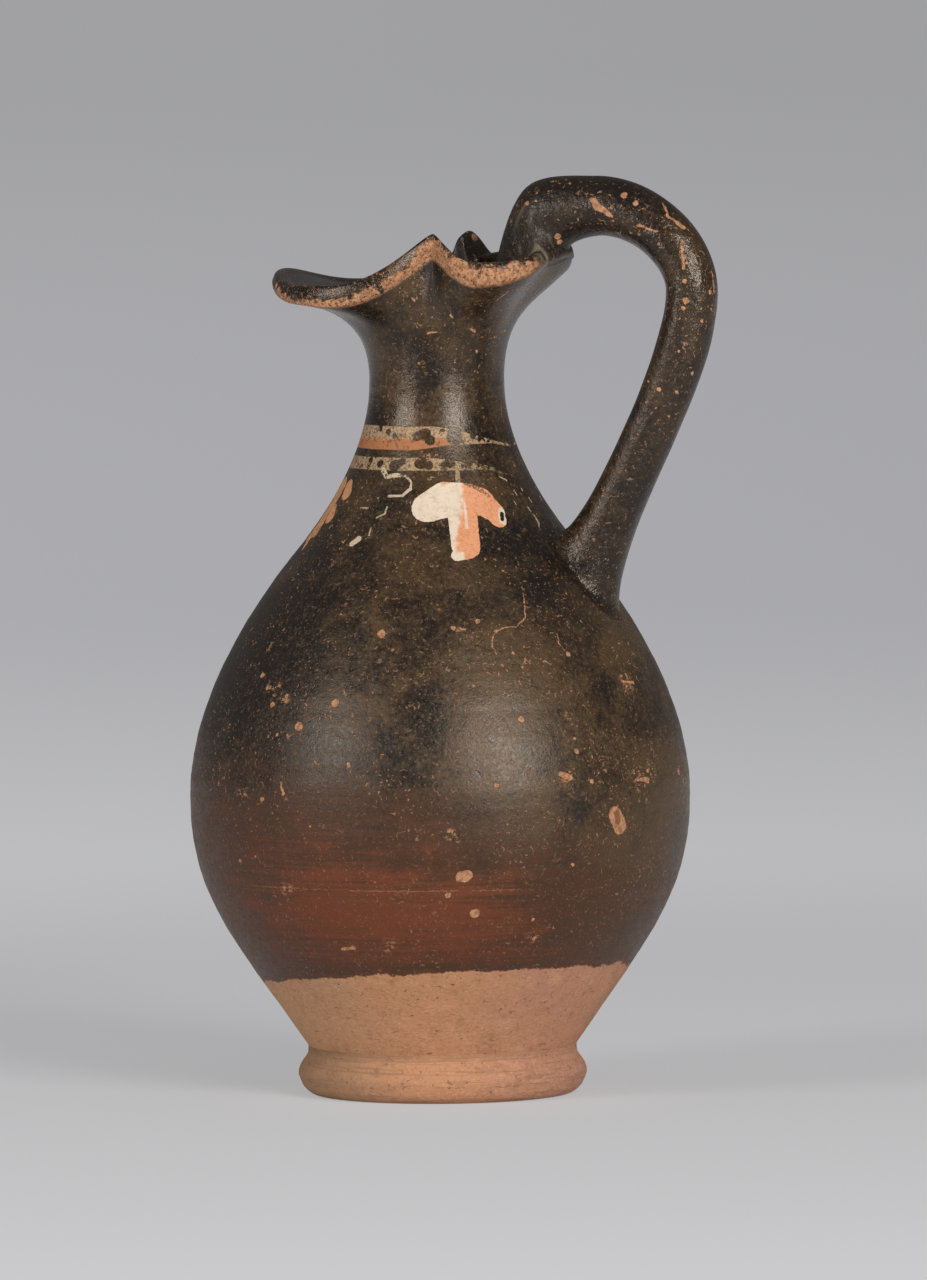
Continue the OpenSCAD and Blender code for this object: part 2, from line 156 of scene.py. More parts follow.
def mouth_r(a, inset=0.0):
    """Radius of the rim's outer edge, or of a line that keeps a distance inside it and rounds the crease."""
    f = fold(a)
    lobes = [to_lobe(FRONT_LOBE, FRONT_R - inset, a), to_lobe(SIDE_LOBE, SIDE_R - inset, a)]
    lobes.append(to_lobe(SIDE_LOBE * [1, -1], SIDE_R - inset, a))
    if not inset:
        return soft_max([*lobes, np.full_like(f, PINCH_R)])
    by = np.radians(f - CREASE_A)
    far = np.linalg.norm(crease)
    folded = far * np.cos(by) - np.sqrt(np.maximum(0, inset**2 - (far * np.sin(by)) ** 2))
    in_fold = (f > fold_end(SIDE_LOBE, SIDE_R - inset)) & (f < fold_end(FRONT_LOBE, FRONT_R - inset))
    return np.where(in_fold, folded, soft_max(lobes))


def fall(share):
    return np.sin(np.pi / 2 * np.clip(share, 0, 1)) ** DIP_POWER


def tip_share(a, half=TIP_HALF):
    return smooth(1 - (180 - fold(a)) / half)


def back_share(a, half=BACK_HALF):
    return smooth(1 - fold(a) / half)


def rim_z(a):
    f = fold(a)
    front = PEAK_Z - FRONT_DIP * fall((f - CREASE_A) / FRONT_SPAN) + TIP_LIFT * tip_share(a)
    side = PEAK_Z - SIDE_DIP * fall((CREASE_A - f) / SIDE_SPAN) + BACK_LIFT * back_share(a)
    return np.where(f > CREASE_A, front, side)


def lip_face(a):
    return LIP_H * (1 - TIP_THINNING * tip_share(a, 60) - BACK_THINNING * back_share(a, 50))


def pair(r, z):
    r, z = np.broadcast_arrays(np.asarray(r, float), np.asarray(z, float))
    return np.stack([r, z], -1)


def wall_flare(bottom, edge, a):
    """The curve that leaves the throat upright and meets the lip at each lobe's own flare."""
    front, side = smooth((fold(a) - CREASE_A) / 70), smooth((CREASE_A - fold(a)) / 30)
    flare = (FRONT_FLARE - TIP_FLARE_LOSS * tip_share(a)) * front + SIDE_FLARE * side
    pull = mix(SIDE_LIP_PULL, FRONT_LIP_PULL, front)[:, None]
    under = edge - pull * np.linalg.norm(edge - bottom, axis=1)[:, None] * lean(flare)
    up = pair(0, THROAT_PULL * mix(SIDE_UP_PULL, FRONT_UP_PULL, front))
    under[:, 0] = np.maximum(under[:, 0], np.minimum(edge[:, 0], bottom[:, 0]))
    return [bottom, bottom + up, under, edge]


def neck_section(a, v):
    """Points (radius, height) of the neck in directions a. v: 0-1 outer wall, 1-2 flare, 2-2.5 the lip's face,
    2.5-3 its rounded top, 3-4 down the inside of the mouth, 4-5 down the inside of the neck."""
    a = np.atleast_1d(np.asarray(a, float))
    n = np.zeros_like(a)
    if v < 1:
        z = mix(JOINT_Z, THROAT_Z, v) + n
        return pair(outer_r(z), z)
    if v >= 4:
        z = mix(THROAT_Z, JOINT_Z, min(v, 5) - 4) + n
        return pair(inner_r(z), z)
    r, rim, inner = mouth_r(a), rim_z(a), mouth_r(a, LIP_W)
    low, high, inside = pair(r, rim - lip_face(a)), pair(r, rim - 1.1), pair(inner, rim - 1.2)
    if v < 2:
        return bezier(wall_flare(pair(THROAT_R + n, THROAT_Z), low, a), v - 1)
    if v < 2.5:
        return arc(low, (low + high) / 2 + [0.7, 0], high, 2 * v - 4)
    if v < 3:
        top = [high, pair(r - 0.2, rim + 0.35), pair(r - LIP_W / 2, rim + 0.35), inside]
        return bezier(top, 2 * v - 5)
    return bezier(wall_flare(pair(THROAT_R - NECK_WALL + n, THROAT_Z), inside, a), 4 - v)


def turned(section, a):
    a = np.radians(np.atleast_1d(a))
    return np.stack([section[:, 0] * np.cos(a), section[:, 0] * np.sin(a), section[:, 1]], -1)


def neck_points(a, v):
    return turned(neck_section(a, v), a)


# The handle: a rod along three curves, whose ends spread on the belly and over the lip. A reach is up and down in
# mm and sideways in mm on the belly, and up and down in steps of v and sideways in degrees on the lip.
SEAT_Z, SEAT_V = 118.0, 2.6
LOWER_FOOT, UPPER_FOOT = [7, 6.5, 6.6], [0.5, 1, 15]
LOWER_WAD, UPPER_WAD = [13.5, 11, 9.5], [0.7, 1.2, 22]
ROD, ROD_ACROSS, ARCH, ROOT, ROOT_ACROSS = 12, 13.4, 13.6, 18.4, 15.5
LOWER_SPREAD, UPPER_SPREAD = 6 / 16, 4 / 11
lower_end = np.array([float(outer_r(SEAT_Z)), 0, SEAT_Z])
upper_end = np.array([float(mouth_r(0)) - 5.6, 0, float(rim_z(0)) + 1.5])
furthest, top = np.array([60.8, 0, 181.0]), np.array([39.0, 0, 200.0])
PATH = [
    [lower_end, lower_end + [4.8, 0, 14], furthest - [0, 0, 17.5], furthest],
    [furthest, furthest + [0, 0, 9.5], top + [11, 0, 0], top],
    [top, top - [7.6, 0, 0.3], upper_end + [-0.2, 0, 6], upper_end],
]


def widened(foot, wad, share):
    return [mix(a, b, share) for a, b in zip(foot, wad)]


def lower_seat(t, s, reach, lift):
    """Points on the belly round the handle's lower end, s of the way out to its reach."""
    z = SEAT_Z + s * np.cos(t) * np.where(np.cos(t) > 0, reach[0], reach[1])
    y = s * reach[2] * np.sin(t)
    r = outer_r(z) + lift
    return np.stack([np.sqrt(r * r - y * y), y, z], -1)


def lip_place(one, s, reach):
    """Direction and v of one point round the handle's upper end."""
    return s * reach[2] * math.sin(one), SEAT_V - s * math.cos(one) * (reach[0] if math.cos(one) > 0 else reach[1])


def upper_seat(t, s, reach, lift):
    out = []
    for one in t:
        a, v = lip_place(one, s, reach)
        up = neck_section(a, v + 0.02) - neck_section(a, v - 0.02)
        off = unit(np.stack([up[:, 1], -up[:, 0]], -1))
        out.append(turned(neck_section(a, v) + lift * off, a)[0])
    return np.array(out)


def handle_ring(part, share, t, grow=0.0):
    p = bezier(PATH[part], share)
    d = unit(bezier(PATH[part], min(share + 1e-3, 1)) - bezier(PATH[part], max(share - 1e-3, 0)))
    thick, wide = [
        (ROD, ROD_ACROSS), (mix(ROD, ARCH, smooth(share)), ROD_ACROSS),
        (mix(ARCH, ROOT, smooth(1.15 * share)), mix(ROD_ACROSS, ROOT_ACROSS, smooth(share))),
    ][part]
    across = (thick / 2 + grow) * np.cos(t)[:, None] * np.array([-d[2], 0, d[0]])
    rod = p + across + np.outer(np.sin(t), [0, wide / 2 + grow, 0])
    if part == 0 and share < LOWER_SPREAD:
        return mix(lower_seat(t, 1 + grow / 6.6, LOWER_FOOT, 0.4), rod, smooth(share / LOWER_SPREAD))
    if part == 2 and 1 - share < UPPER_SPREAD:
        return mix(upper_seat(t, 1 + grow / 8, UPPER_FOOT, 0.4), rod, smooth((1 - share) / UPPER_SPREAD))
    return rod


# ------------------------------------------------ hand-made unevenness, never outside the CAD's box
def waver(x, seed):
    """A slow, even wander between -1 and 1 along x."""
    a, b, c = (math.sin(seed * k) * 7 for k in (1.7, 2.9, 4.3))
    return (np.sin(x + a) + 0.6 * np.sin(2.3 * x + b) + 0.35 * np.sin(4.9 * x + c)) / 1.95


def thrown(points):
    """A thrown wall is never quite round, and keeps faint ridges from the fingers. It only ever loses clay."""
    x, y, z = points[..., 0], points[..., 1], points[..., 2]
    a = np.arctan2(y, x)
    ridges = 0.06 * waver(z * 0.55, 3) + 0.01 * waver(z * 1.9 + 0.6 * np.sin(a), 5)
    hand = 0.14 * np.sin(2 * a + z * 0.03 + 0.8) + 0.08 * np.sin(3 * a - z * 0.05)
    loss = np.clip(0.2 - ridges - hand, 0, 0.6) * smooth((z - 11) / 8) * smooth((152 - z) / 30)
    k = 1 - loss / np.maximum(np.hypot(x, y), 1e-6)
    return np.stack([x * k, y * k, z], -1)


def far_crease(p, v):
    """The fold on the far side falls a little more steeply towards the handle than the near one."""
    share = smooth((v - 1.5) / 0.5) * smooth((3.6 - v) / 0.5)
    return 3.3 * np.exp(-(((around_axis(p) - 64.5) / 5) ** 2)) * share[:, None]


# ------------------------------------------------ meshes
AROUND, ROD_SIDES = 400, 56
WALL_ROWS, INNER_ROWS, FLOOR_ROWS, FLOOR_DIP = (70, 76, 60), 60, 9, 1.5
WAD_ROWS, ROD_ROWS, ARCH_ROWS, ROOT_ROWS = 9, 34, 30, 22
# Smoothing rounds: along the rim under the lip, and where the clay at each end of the handle meets the rod
CREASE_ROUNDS, LOWER_ROUNDS, UPPER_ROUNDS = 70, 14, 8
ring_angles = np.arange(AROUND) * 360 / AROUND


def around_axis(p):
    return np.degrees(np.arctan2(p[..., 1], p[..., 0]))


def grid_normals(p):
    """Unit normals of a grid of points: rows up the wall, columns round it."""
    n = np.cross(np.roll(p, -1, 1) - np.roll(p, 1, 1), np.gradient(p, axis=0))
    n[np.linalg.norm(n, axis=-1) < 1e-12] = [0, 0, 1]
    return unit(n)


def grid_faces(rows, around, closed=False):
    i, j = np.meshgrid(np.arange(rows if closed else rows - 1), np.arange(around), indexing="ij")
    i, j = i.ravel(), j.ravel()
    k, m = (i + 1) % rows, (j + 1) % around
    return np.stack([i * around + j, i * around + m, k * around + m, k * around + j], 1)


def revolve(line):
    a, line = np.radians(ring_angles), np.asarray(line, float)
    x, y = np.outer(line[:, 0], np.cos(a)), np.outer(line[:, 0], np.sin(a))
    return np.stack([x, y, np.repeat(line[:, 1:], AROUND, 1)], -1)


def piece(name, points, faces, materials, normals=None, marks=None, zones=None):
    """A smooth mesh. Marks are values at its points, and zones says which material each face takes."""
    mesh = bpy.data.meshes.new(name)
    mesh.from_pydata((points.reshape(-1, 3) * MM).tolist(), [], faces.tolist())
    mesh.polygons.foreach_set("use_smooth", np.ones(len(faces), bool))
    for mark, values in (marks or {}).items():
        mesh.attributes.new(mark, "FLOAT", "POINT").data.foreach_set("value", np.asarray(values, np.float32).ravel())
    for material in materials:
        mesh.materials.append(material)
    if zones is not None:
        mesh.polygons.foreach_set("material_index", np.asarray(zones, np.int32))
    mesh.update()
    if normals is not None:
        mesh.normals_split_custom_set_from_vertices(normals.reshape(-1, 3).tolist())
    made = bpy.data.objects.new(name, mesh)
    bpy.context.collection.objects.link(made)
    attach(made, "root")
    return made


# The foot's outline: radius, height and how far the corner is rounded
FOOT_CORNERS = [
    [24, 0, 0.8], [29, 0, 0.8], [31.25, 1.25, 1.4], [33.19, 5.2, 2.6], [30.2, 9.7, 1.6], [30.25, 11.2, 0.4],
    [28.4, 11.2, 0.3], [20, 10.1, 0], [21.4, 7.27, 1.2],
]


def make_foot(materials):
    """The turned ring foot: worn resting ring, soft keel, groove, hollow underside, with fine turning marks."""
    corners = np.array(FOOT_CORNERS)
    line = []
    for (*before, _), (*here, cut), (*after, _) in zip(np.roll(corners, 1, 0), corners, np.roll(corners, -1, 0)):
        before, here, after = np.array(before), np.array(here), np.array(after)
        span = min(cut, np.linalg.norm(before - here) / 2, np.linalg.norm(after - here) / 2)
        a, b = here + span * unit(before - here), here + span * unit(after - here)
        line += [arc(a, here, b, t) for t in np.linspace(0, 1, 9 if cut else 1)]
    line = np.array(line)
    full = []
    for p, q in zip(line, np.roll(line, -1, 0)):
        steps = max(1, int(np.linalg.norm(q - p) / 0.35))
        full += [mix(p, q, k / steps) for k in range(steps)]
    p = revolve(full)
    z, r, a = p[..., 2], np.hypot(p[..., 0], p[..., 1]), np.radians(around_axis(p))
    loss = np.clip(0.1 + 0.06 * waver(z * 2.4, 8) + 0.09 * np.sin(2 * a + 1), 0, 0.3)
    loss = loss * smooth(z / 1.5) * smooth(10 - z)
    k = 1 - np.where(r > 26, loss, 0) / r
    p = p * np.stack([k, k, np.ones_like(k)], -1)
    made = piece("foot_ring", p, grid_faces(len(full), AROUND, True), materials)
    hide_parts("foot")


def neck_rows():
    """The steps of v for the neck's rows, closer together where the lip turns."""
    def run(start, length, count):
        return start + np.linspace(0, length, count, endpoint=False)

    return np.concatenate([
        run(0, 1, 30), 1 + run(0, 1, 46) ** 0.9, [1.985, 1.995], run(2, 0.5, 10), run(2.5, 0.5, 16), run(3, 1, 40),
        4 + np.linspace(0, 1, 16),
    ])


def grid_middles(p):
    """For each face of a grid, its row and the point at its first corner."""
    rows = np.repeat(np.arange(len(p) - 1), AROUND)
    return rows, p[rows, np.tile(np.arange(AROUND), len(p) - 1)]


# The wall's materials by number, the front's angles and the garland's heights
BACK, FRONT, GARLAND, INSIDE, MOUTH = range(5)
FRONT_FROM, FRONT_TO, GARLAND_FROM, GARLAND_TO = 195, 12, 121, 155


def make_wall(materials):
    """Belly and neck as one thrown wall, cut at the joint into the two pieces that were luted there."""
    up = np.concatenate([bezier(c, np.linspace(0, 1, n, endpoint=False)) for c, n in zip(WALL, WALL_ROWS)])
    up = up[up[:, 1] < JOINT_Z - 0.2]
    belly_out = np.concatenate([up, [[outer_r(JOINT_Z), JOINT_Z]]])
    down = np.linspace(JOINT_Z, FLOOR_Z + FLOOR_DIP, INNER_ROWS)
    belly_in = np.stack([inner_r(down), down], 1)
    shares = np.linspace(1, 0, FLOOR_ROWS)[1:]
    floor = np.stack([belly_in[-1, 0] * shares, FLOOR_Z + FLOOR_DIP * shares**6], 1)
    belly, joint = revolve(np.concatenate([belly_out, belly_in, floor])), len(belly_out)
    v = neck_rows()
    neck = np.stack([neck_points(ring_angles, one) for one in v])
    neck[..., 2] -= far_crease(neck, v)
    for row, one in zip(neck, v):
        for _ in range(int(CREASE_ROUNDS * smooth((2 - one) / 0.4)) if one > 1 else 0):
            row[:] = 0.5 * row + 0.25 * (np.roll(row, 1, 0) + np.roll(row, -1, 0))
    wall = np.concatenate([thrown(belly[:joint]), thrown(neck[1:])])
    normals = grid_normals(wall)
    inside = belly[joint:]
    whole = np.concatenate([wall[:joint], inside])
    row, mid = grid_middles(whole)
    angle = around_axis(mid) % 360
    front = np.where((angle > FRONT_FROM) | (angle < FRONT_TO), FRONT, BACK)
    zones = np.where(row >= joint, INSIDE, np.where(mid[:, 2] > GARLAND_FROM, GARLAND, front))
    all_normals = np.concatenate([normals[:joint], grid_normals(inside)])
    made = piece("belly_wall", whole, grid_faces(len(whole), AROUND), materials, all_normals, zones=zones)
    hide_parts("belly", "neck_slip")

    whole = wall[joint - 1:]
    near_lip = 1 - np.minimum(np.abs(v - 1.99) / 0.03, np.abs(v - 2.78) / 0.12)
    marks = {
        "lip": np.where((v > 1.99) & (v < 2.78), 1.0, np.clip(near_lip, 0, 1)),
        "lip_up": np.clip((v - 2) / 0.8, 0, 1),
        "inside": smooth((v - 3.75) / 0.5),
    }
    marks = {name: np.repeat(values, AROUND) for name, values in marks.items()}
    row, mid = grid_middles(whole)
    zones = np.where(v[row] >= 4.2, INSIDE, np.where((v[row] < 1) & (mid[:, 2] < GARLAND_TO), GARLAND, MOUTH))
    made = piece("neck_and_mouth", whole, grid_faces(len(whole), AROUND), materials, normals[joint - 1:], marks, zones)
    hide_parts("neck")
    return made


def wall_normals(points):
    """The belly wall's outward direction at points on or just over it."""
    a, z = np.arctan2(points[..., 1], points[..., 0]), points[..., 2]
    fall = (outer_r(z + 0.5) - outer_r(z - 0.5)) / np.hypot(1, outer_r(z + 0.5) - outer_r(z - 0.5))
    level = np.sqrt(1 - fall**2)
    return np.stack([np.cos(a) * level, np.sin(a) * level, -fall], -1)


def lip_normals(t, reach):
    """The mouth wall's outward direction along the edge of the upper wad."""
    rows = []
    for one in t:
        a, v = lip_place(one, 1, reach)
        up = (neck_points(a, v + 0.03) - neck_points(a, v - 0.03))[0]
        rows.append(np.cross((neck_points(a + 0.5, v) - neck_points(a - 0.5, v))[0], up))
    return unit(np.array(rows))


def make_handle(materials):
    """The pulled rod with the soft clay at both ends smoothed into belly and lip."""
    t = np.arange(ROD_SIDES) * 2 * np.pi / ROD_SIDES
    lower = [(s, widened(LOWER_FOOT, LOWER_WAD, s)) for s in np.linspace(1, 0.3, WAD_ROWS)]
    upper = [(s, widened(UPPER_FOOT, UPPER_WAD, s)) for s in np.linspace(0.35, 1, WAD_ROWS)]
    rings = [lower_seat(t, 1, reach, 0.02 + 3.1 * (1 - s) ** 2) for s, reach in lower]
    rings += [handle_ring(0, i / 16, t, 0.15 + 2.6 * max(0, 1 - i / 5) ** 2) for i in np.linspace(1.6, 6, 12)]
    rings += [handle_ring(0, s, t) for s in np.linspace(LOWER_SPREAD + 1 / 32, 1, ROD_ROWS)]
    rings += [handle_ring(1, s, t) for s in np.linspace(0, 1, ARCH_ROWS)[1:]]
    rings += [handle_ring(2, s, t) for s in np.linspace(0, 1 - UPPER_SPREAD, ROOT_ROWS)[1:]]
    rings += [handle_ring(2, 1 - i / 11, t, 0.15 + 1.5 * max(0, 1 - i / 4) ** 2) for i in np.linspace(3.6, 1.5, 8)]
    rings += [upper_seat(t, 1, reach, 0.03 + 1.9 * (1 - s) ** 2) for s, reach in upper]
    p = np.array(rings)
    n = len(p)
    steps = np.arange(n)
    # The nub under the arch, where clay was pressed up under the rod
    under = np.exp(-(((steps - (n - 10.5)) / 3.5) ** 2))[:, None] * np.clip(np.cos(t), 0, 1) ** 1.5
    p = p + under[..., None] * np.array([0.75, 0, -0.5])
    p = mix(p, thrown(p), smooth((20 - steps) / 10)[:, None, None])
    for lo, hi, rounds in ((4, 26, LOWER_ROUNDS), (n - 24, n - 4, UPPER_ROUNDS)):
        for _ in range(rounds):
            p[lo:hi] = 0.5 * p[lo:hi] + 0.25 * (p[lo - 1 : hi - 1] + p[lo + 1 : hi + 1])
    along = np.concatenate([[0], np.cumsum(np.linalg.norm(np.diff(p.mean(1), axis=0), axis=1))])
    out = p - p.mean(1, keepdims=True)
    size = np.linalg.norm(out, axis=-1, keepdims=True)
    uneven = 0.16 + 0.1 * waver(along * 0.11, 2)[:, None] + 0.12 * np.cos(4 * t + 0.02 * along[:, None])
    uneven = uneven + 0.09 * waver(along * 0.05, 6)[:, None] * np.cos(2 * t + 0.5)
    ends = smooth(np.minimum(along, along[-1] - along) / 14)[:, None]
    p = p - out / np.maximum(size, 1e-9) * (np.clip(uneven, 0, 0.5) * ends)[..., None]
    normals = grid_normals(np.concatenate([2 * p[:1] - p[1:2], p, 2 * p[-1:] - p[-2:-1]]))[1:-1]
    normals *= np.sign(np.sum(normals[n // 2] * out[n // 2]))
    normals = mix(normals, wall_normals(p), smooth((7 - steps) / 6)[:, None, None])
    lip = np.stack([lip_normals(t, reach) for _, reach in upper])
    near_lip = smooth((np.arange(WAD_ROWS) - 1) / 7)[:, None, None]
    normals[-WAD_ROWS:] = mix(normals[-WAD_ROWS:], lip, near_lip)
    faces = grid_faces(n, ROD_SIDES)
    q = p.reshape(-1, 3)[faces[n // 2 * ROD_SIDES]]
    if np.cross(q[1] - q[0], q[2] - q[0]) @ out[n // 2, 0] < 0:
        faces = faces[:, ::-1]
    made = piece("handle_rod", p, faces, materials, unit(normals), {"along": np.repeat(along / along[-1], ROD_SIDES)})
    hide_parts("handle", "lower_handle_wad", "upper_handle_wad", "lower_handle_slip", "upper_handle_slip")
    return made


# ------------------------------------------------ laying out shader nodes
class Wire:
    """A value in a node tree, so that masks can be written as sums."""

    def __init__(self, bench, socket):
        self.bench, self.socket = bench, socket

    def __add__(self, other):
        return self.bench.sum("ADD", self, other)

    def __sub__(self, other):
        return self.bench.sum("SUBTRACT", self, other)

    def __rsub__(self, other):
        return self.bench.sum("SUBTRACT", other, self)

    def __mul__(self, other):
        return self.bench.sum("MULTIPLY", self, other)

    def __truediv__(self, other):
        return self.bench.sum("DIVIDE", self, other)

    __radd__, __rmul__ = __add__, __mul__


class Bench:
    """One node tree with short words for the nodes that the recipes below use."""

    def __init__(self, tree):
        self.tree = tree

    def node(self, kind, inputs=None, **settings):
        made = self.tree.nodes.new("ShaderNode" + kind)
        for name, value in settings.items():
            setattr(made, name, value)
        for key, value in (inputs or {}).items():
            self.feed(made.inputs[key], value)
        return made

    def feed(self, socket, value):
        if isinstance(value, Wire):
            self.tree.links.new(value.socket, socket)
        else:
            socket.default_value = value

    def wire(self, node, output=0):
        return Wire(self, node.outputs[output])

    def sum(self, kind, *values):
        return self.wire(self.node("Math", dict(enumerate(values)), operation=kind))

    def vector(self, kind, *values, **more):
        made = self.node("VectorMath", dict(enumerate(values)), operation=kind)
        for key, value in more.items():
            self.feed(made.inputs[key.capitalize()], value)
        return self.wire(made, "Value" if kind in ("LENGTH", "DISTANCE", "DOT_PRODUCT") else "Vector")

    def larger(self, *values):
        best = values[0]
        for value in values[1:]:
            best = self.sum("MAXIMUM", best, value)
        return best

    def step(self, value, low, high, to_low=0.0, to_high=1.0):
        """Rises softly from to_low to to_high as value goes from low to high, which may be the smaller one."""
        ends = {"Value": value, "From Min": low, "From Max": high, "To Min": to_low, "To Max": to_high}
        return self.wire(self.node("MapRange", ends, interpolation_type="SMOOTHSTEP"))

    def noise(self, place, scale, detail=3.0, rough=0.55, output="Fac"):
        made = self.node("TexNoise", {"Vector": place, "Scale": scale, "Detail": detail, "Roughness": rough})
        return self.wire(made, output)

    def stretch(self, place, *by):
        return self.vector("MULTIPLY", place, by)

    def shift(self, place, *by):
        return self.vector("ADD", place, by)

    def blend(self, a, b, share):
        """The share of b over a. Each is a wire or a colour in 0-255 levels."""
        made = self.node("Mix", data_type="RGBA", blend_type="MIX")
        for key, value in ((0, share), (6, a), (7, b)):
            self.feed(made.inputs[key], srgb(*value) if isinstance(value, tuple) else value)
        return self.wire(made, 2)

    def split(self, place):
        parts = self.node("SeparateXYZ", {0: place})
        return [self.wire(parts, i) for i in range(3)]

    def mark(self, name):
        return self.wire(self.node("Attribute", attribute_name=name, attribute_type="GEOMETRY"), "Fac")

    def use(self, group, **inputs):
        made = self.node("Group")
        made.node_tree = group
        for key, value in inputs.items():
            self.feed(made.inputs[key.replace("_", " ")], value)
        return made

    def mask(self, group, **inputs):
        return self.wire(self.use(group, **inputs))

    def wobbled(self, p, by=0.5, fineness=1.1):
        """The place moved a little to and fro, for edges drawn by hand or broken by wear."""
        way = self.vector("SUBTRACT", self.noise(p, fineness, 3, 0.6, "Color"), (0.5, 0.5, 0.5))
        return self.vector("ADD", p, self.vector("SCALE", way, scale=by * 2))


def effect(name, outputs, **inputs):
    """A node group with a Position and more inputs (name: default) and outputs (name: kind). Returns its tree, bench,
    inputs and outlet."""
    tree = bpy.data.node_groups.new(name, "ShaderNodeTree")
    inputs = {"Position": (0.0, 0.0, 0.0), **{key.replace("_", " "): value for key, value in inputs.items()}}
    for key, value in inputs.items():
        kind = "Float" if isinstance(value, float) else "Vector" if len(value) == 3 else "Color"
        tree.interface.new_socket(key, in_out="INPUT", socket_type="NodeSocket" + kind).default_value = value
    for key, kind in outputs.items():
        tree.interface.new_socket(key, in_out="OUTPUT", socket_type="NodeSocket" + kind)
    bench = Bench(tree)
    inlet, outlet = tree.nodes.new("NodeGroupInput"), tree.nodes.new("NodeGroupOutput")
    return tree, bench, {key: Wire(bench, inlet.outputs[key]) for key in inputs}, outlet.inputs


def srgb(*levels):
    """A colour from 0-255 levels as they show in a picture."""
    c = [x / 255 for x in levels]
    return (*[x / 12.92 if x <= 0.04045 else ((x + 0.055) / 1.055) ** 2.4 for x in c], 1.0)


# ------------------------------------------------ colours, in 0-255 levels
CLAY_TAN, CLAY_WARM, CLAY_PINK = (180, 138, 104), (189, 136, 99), (179, 128, 104)
CLAY_PALE, CLAY_DULL, GRIT_DARK, GRIT_LIGHT = (204, 156, 120), (150, 110, 78), (128, 90, 62), (214, 166, 130)
CLAY_PIT, CLAY_NICK = (84, 56, 38), (108, 74, 50)
CLAY_STREAK, CLAY_SMEAR, CLAY_PAINTED_SHADE = (140, 102, 72), (120, 82, 58), (128, 94, 66)
INNER_DUST, JOINT_DARK = (150, 108, 80), (128, 88, 62)
SLIP_BLACK, SLIP_OLIVE, SLIP_TAN, SLIP_PIT = (28, 23, 20), (77, 58, 36), (88, 68, 44), (14, 12, 12)
SLIP_THICK, SLIP_POOLED_SHADE, SLIP_SPECK = (24, 20, 18), (17, 14, 13), (138, 104, 70)
SLIP_BROWN, SLIP_RED = (66, 39, 22), (108, 52, 28)
BARED_DARK, BARED_LIGHT, CHIP_HEART, BRUSH_STREAK_SHEEN = (142, 98, 66), (190, 138, 102), (112, 66, 44), (138, 122, 100)
BAND_CREAM, BAND_WORN, BAND_ORANGE, BAND_DIRT = (178, 148, 114), (126, 98, 72), (172, 110, 70), (84, 68, 54)
LEAF_CREAM, LEAF_SHADE, LEAF_ORANGE, LEAF_DEEP = (220, 201, 178), (200, 176, 148), (222, 154, 112), (200, 126, 84)
LEAF_SPOT, LINE_CREAM, SIDE_ORANGE, SIDE_DEEP = (150, 96, 62), (206, 184, 154), (208, 152, 108), (174, 120, 82)
FLOOR_NEAR, FLOOR_MIDDLE, FLOOR_FAR, FAR_GREY = (208, 208, 210), (198, 198, 200), (173, 173, 177), (160, 160, 163)
FLOOR_SHADE, FLOOR_CLOUD, FLOOR_CLOTH, AIR = (96, 96, 100), (188, 187, 188), (232, 232, 233), (240, 239, 238)


# ------------------------------------------------ effects that several finishes share
def make_flecks():
    """Spots of uneven size, one here and there in a cell of 1 / Scale millimetres."""
    tree, b, put, out = effect("flecks", {"Mask": "Float"}, Scale=0.5, Size=0.2, Share=0.5, Ragged=0.2)
    wobble = b.vector("SUBTRACT", b.noise(put["Position"], 1.9, 2, output="Color"), (0.5, 0.5, 0.5))
    moved = b.vector("SCALE", put["Position"], scale=put["Scale"])
    moved = b.vector("ADD", moved, b.vector("SCALE", wobble, scale=put["Ragged"]))
    cell = b.node("TexVoronoi", {"Vector": moved, "Scale": 1.0})
    dice = b.node("SeparateColor", {0: b.wire(cell, "Color")})
    reach = put["Size"] * b.step(b.wire(dice, 1), 0.0, 1.0, 0.35, 1.0)
    spot = b.step(b.wire(cell, "Distance"), reach * 1.12, reach * 0.8)
    b.feed(out["Mask"], spot * b.sum("LESS_THAN", b.wire(dice, 0), put["Share"]))
    return tree


def make_hairs():
    """Short curved scratches, as if hairs had lain on the wet slip."""
    tree, b, put, out = effect("hair scratches", {"Mask": "Float"}, Scale=0.3, Width=0.006, Share=0.3)
    away = b.sum("ABSOLUTE", b.noise(put["Position"], put["Scale"], 1.5, 0.4) - 0.5)
    line = b.step(away, put["Width"], put["Width"] * 0.35)
    patch = b.noise(b.shift(put["Position"], 31, 7, 12), put["Scale"] * 1.7, 1.0)
    kept = b.step(patch, 0.68 - put["Share"] * 0.3, 0.72 - put["Share"] * 0.3)
    b.feed(out["Mask"], line * kept)
    return tree


def make_wheel_lines():
    """Fine level lines left by the potter's wheel and the wide brush. Streaks is 0 to 1, Height in millimetres."""
    tree, b, put, out = effect("wheel lines", {"Streaks": "Float", "Height": "Float"}, Fineness=1.0)
    level = b.vector("SCALE", b.stretch(put["Position"], 0.035, 0.035, 1), scale=put["Fineness"])
    fine, broad = b.noise(level, 1.6, 3.0, 0.6), b.noise(level, 0.35, 2.0, 0.5)
    b.feed(out["Streaks"], b.step(fine * 0.6 + broad * 0.4, 0.36, 0.64))
    b.feed(out["Height"], (fine - 0.5) * 0.02 + (broad - 0.5) * 0.05)
    return tree


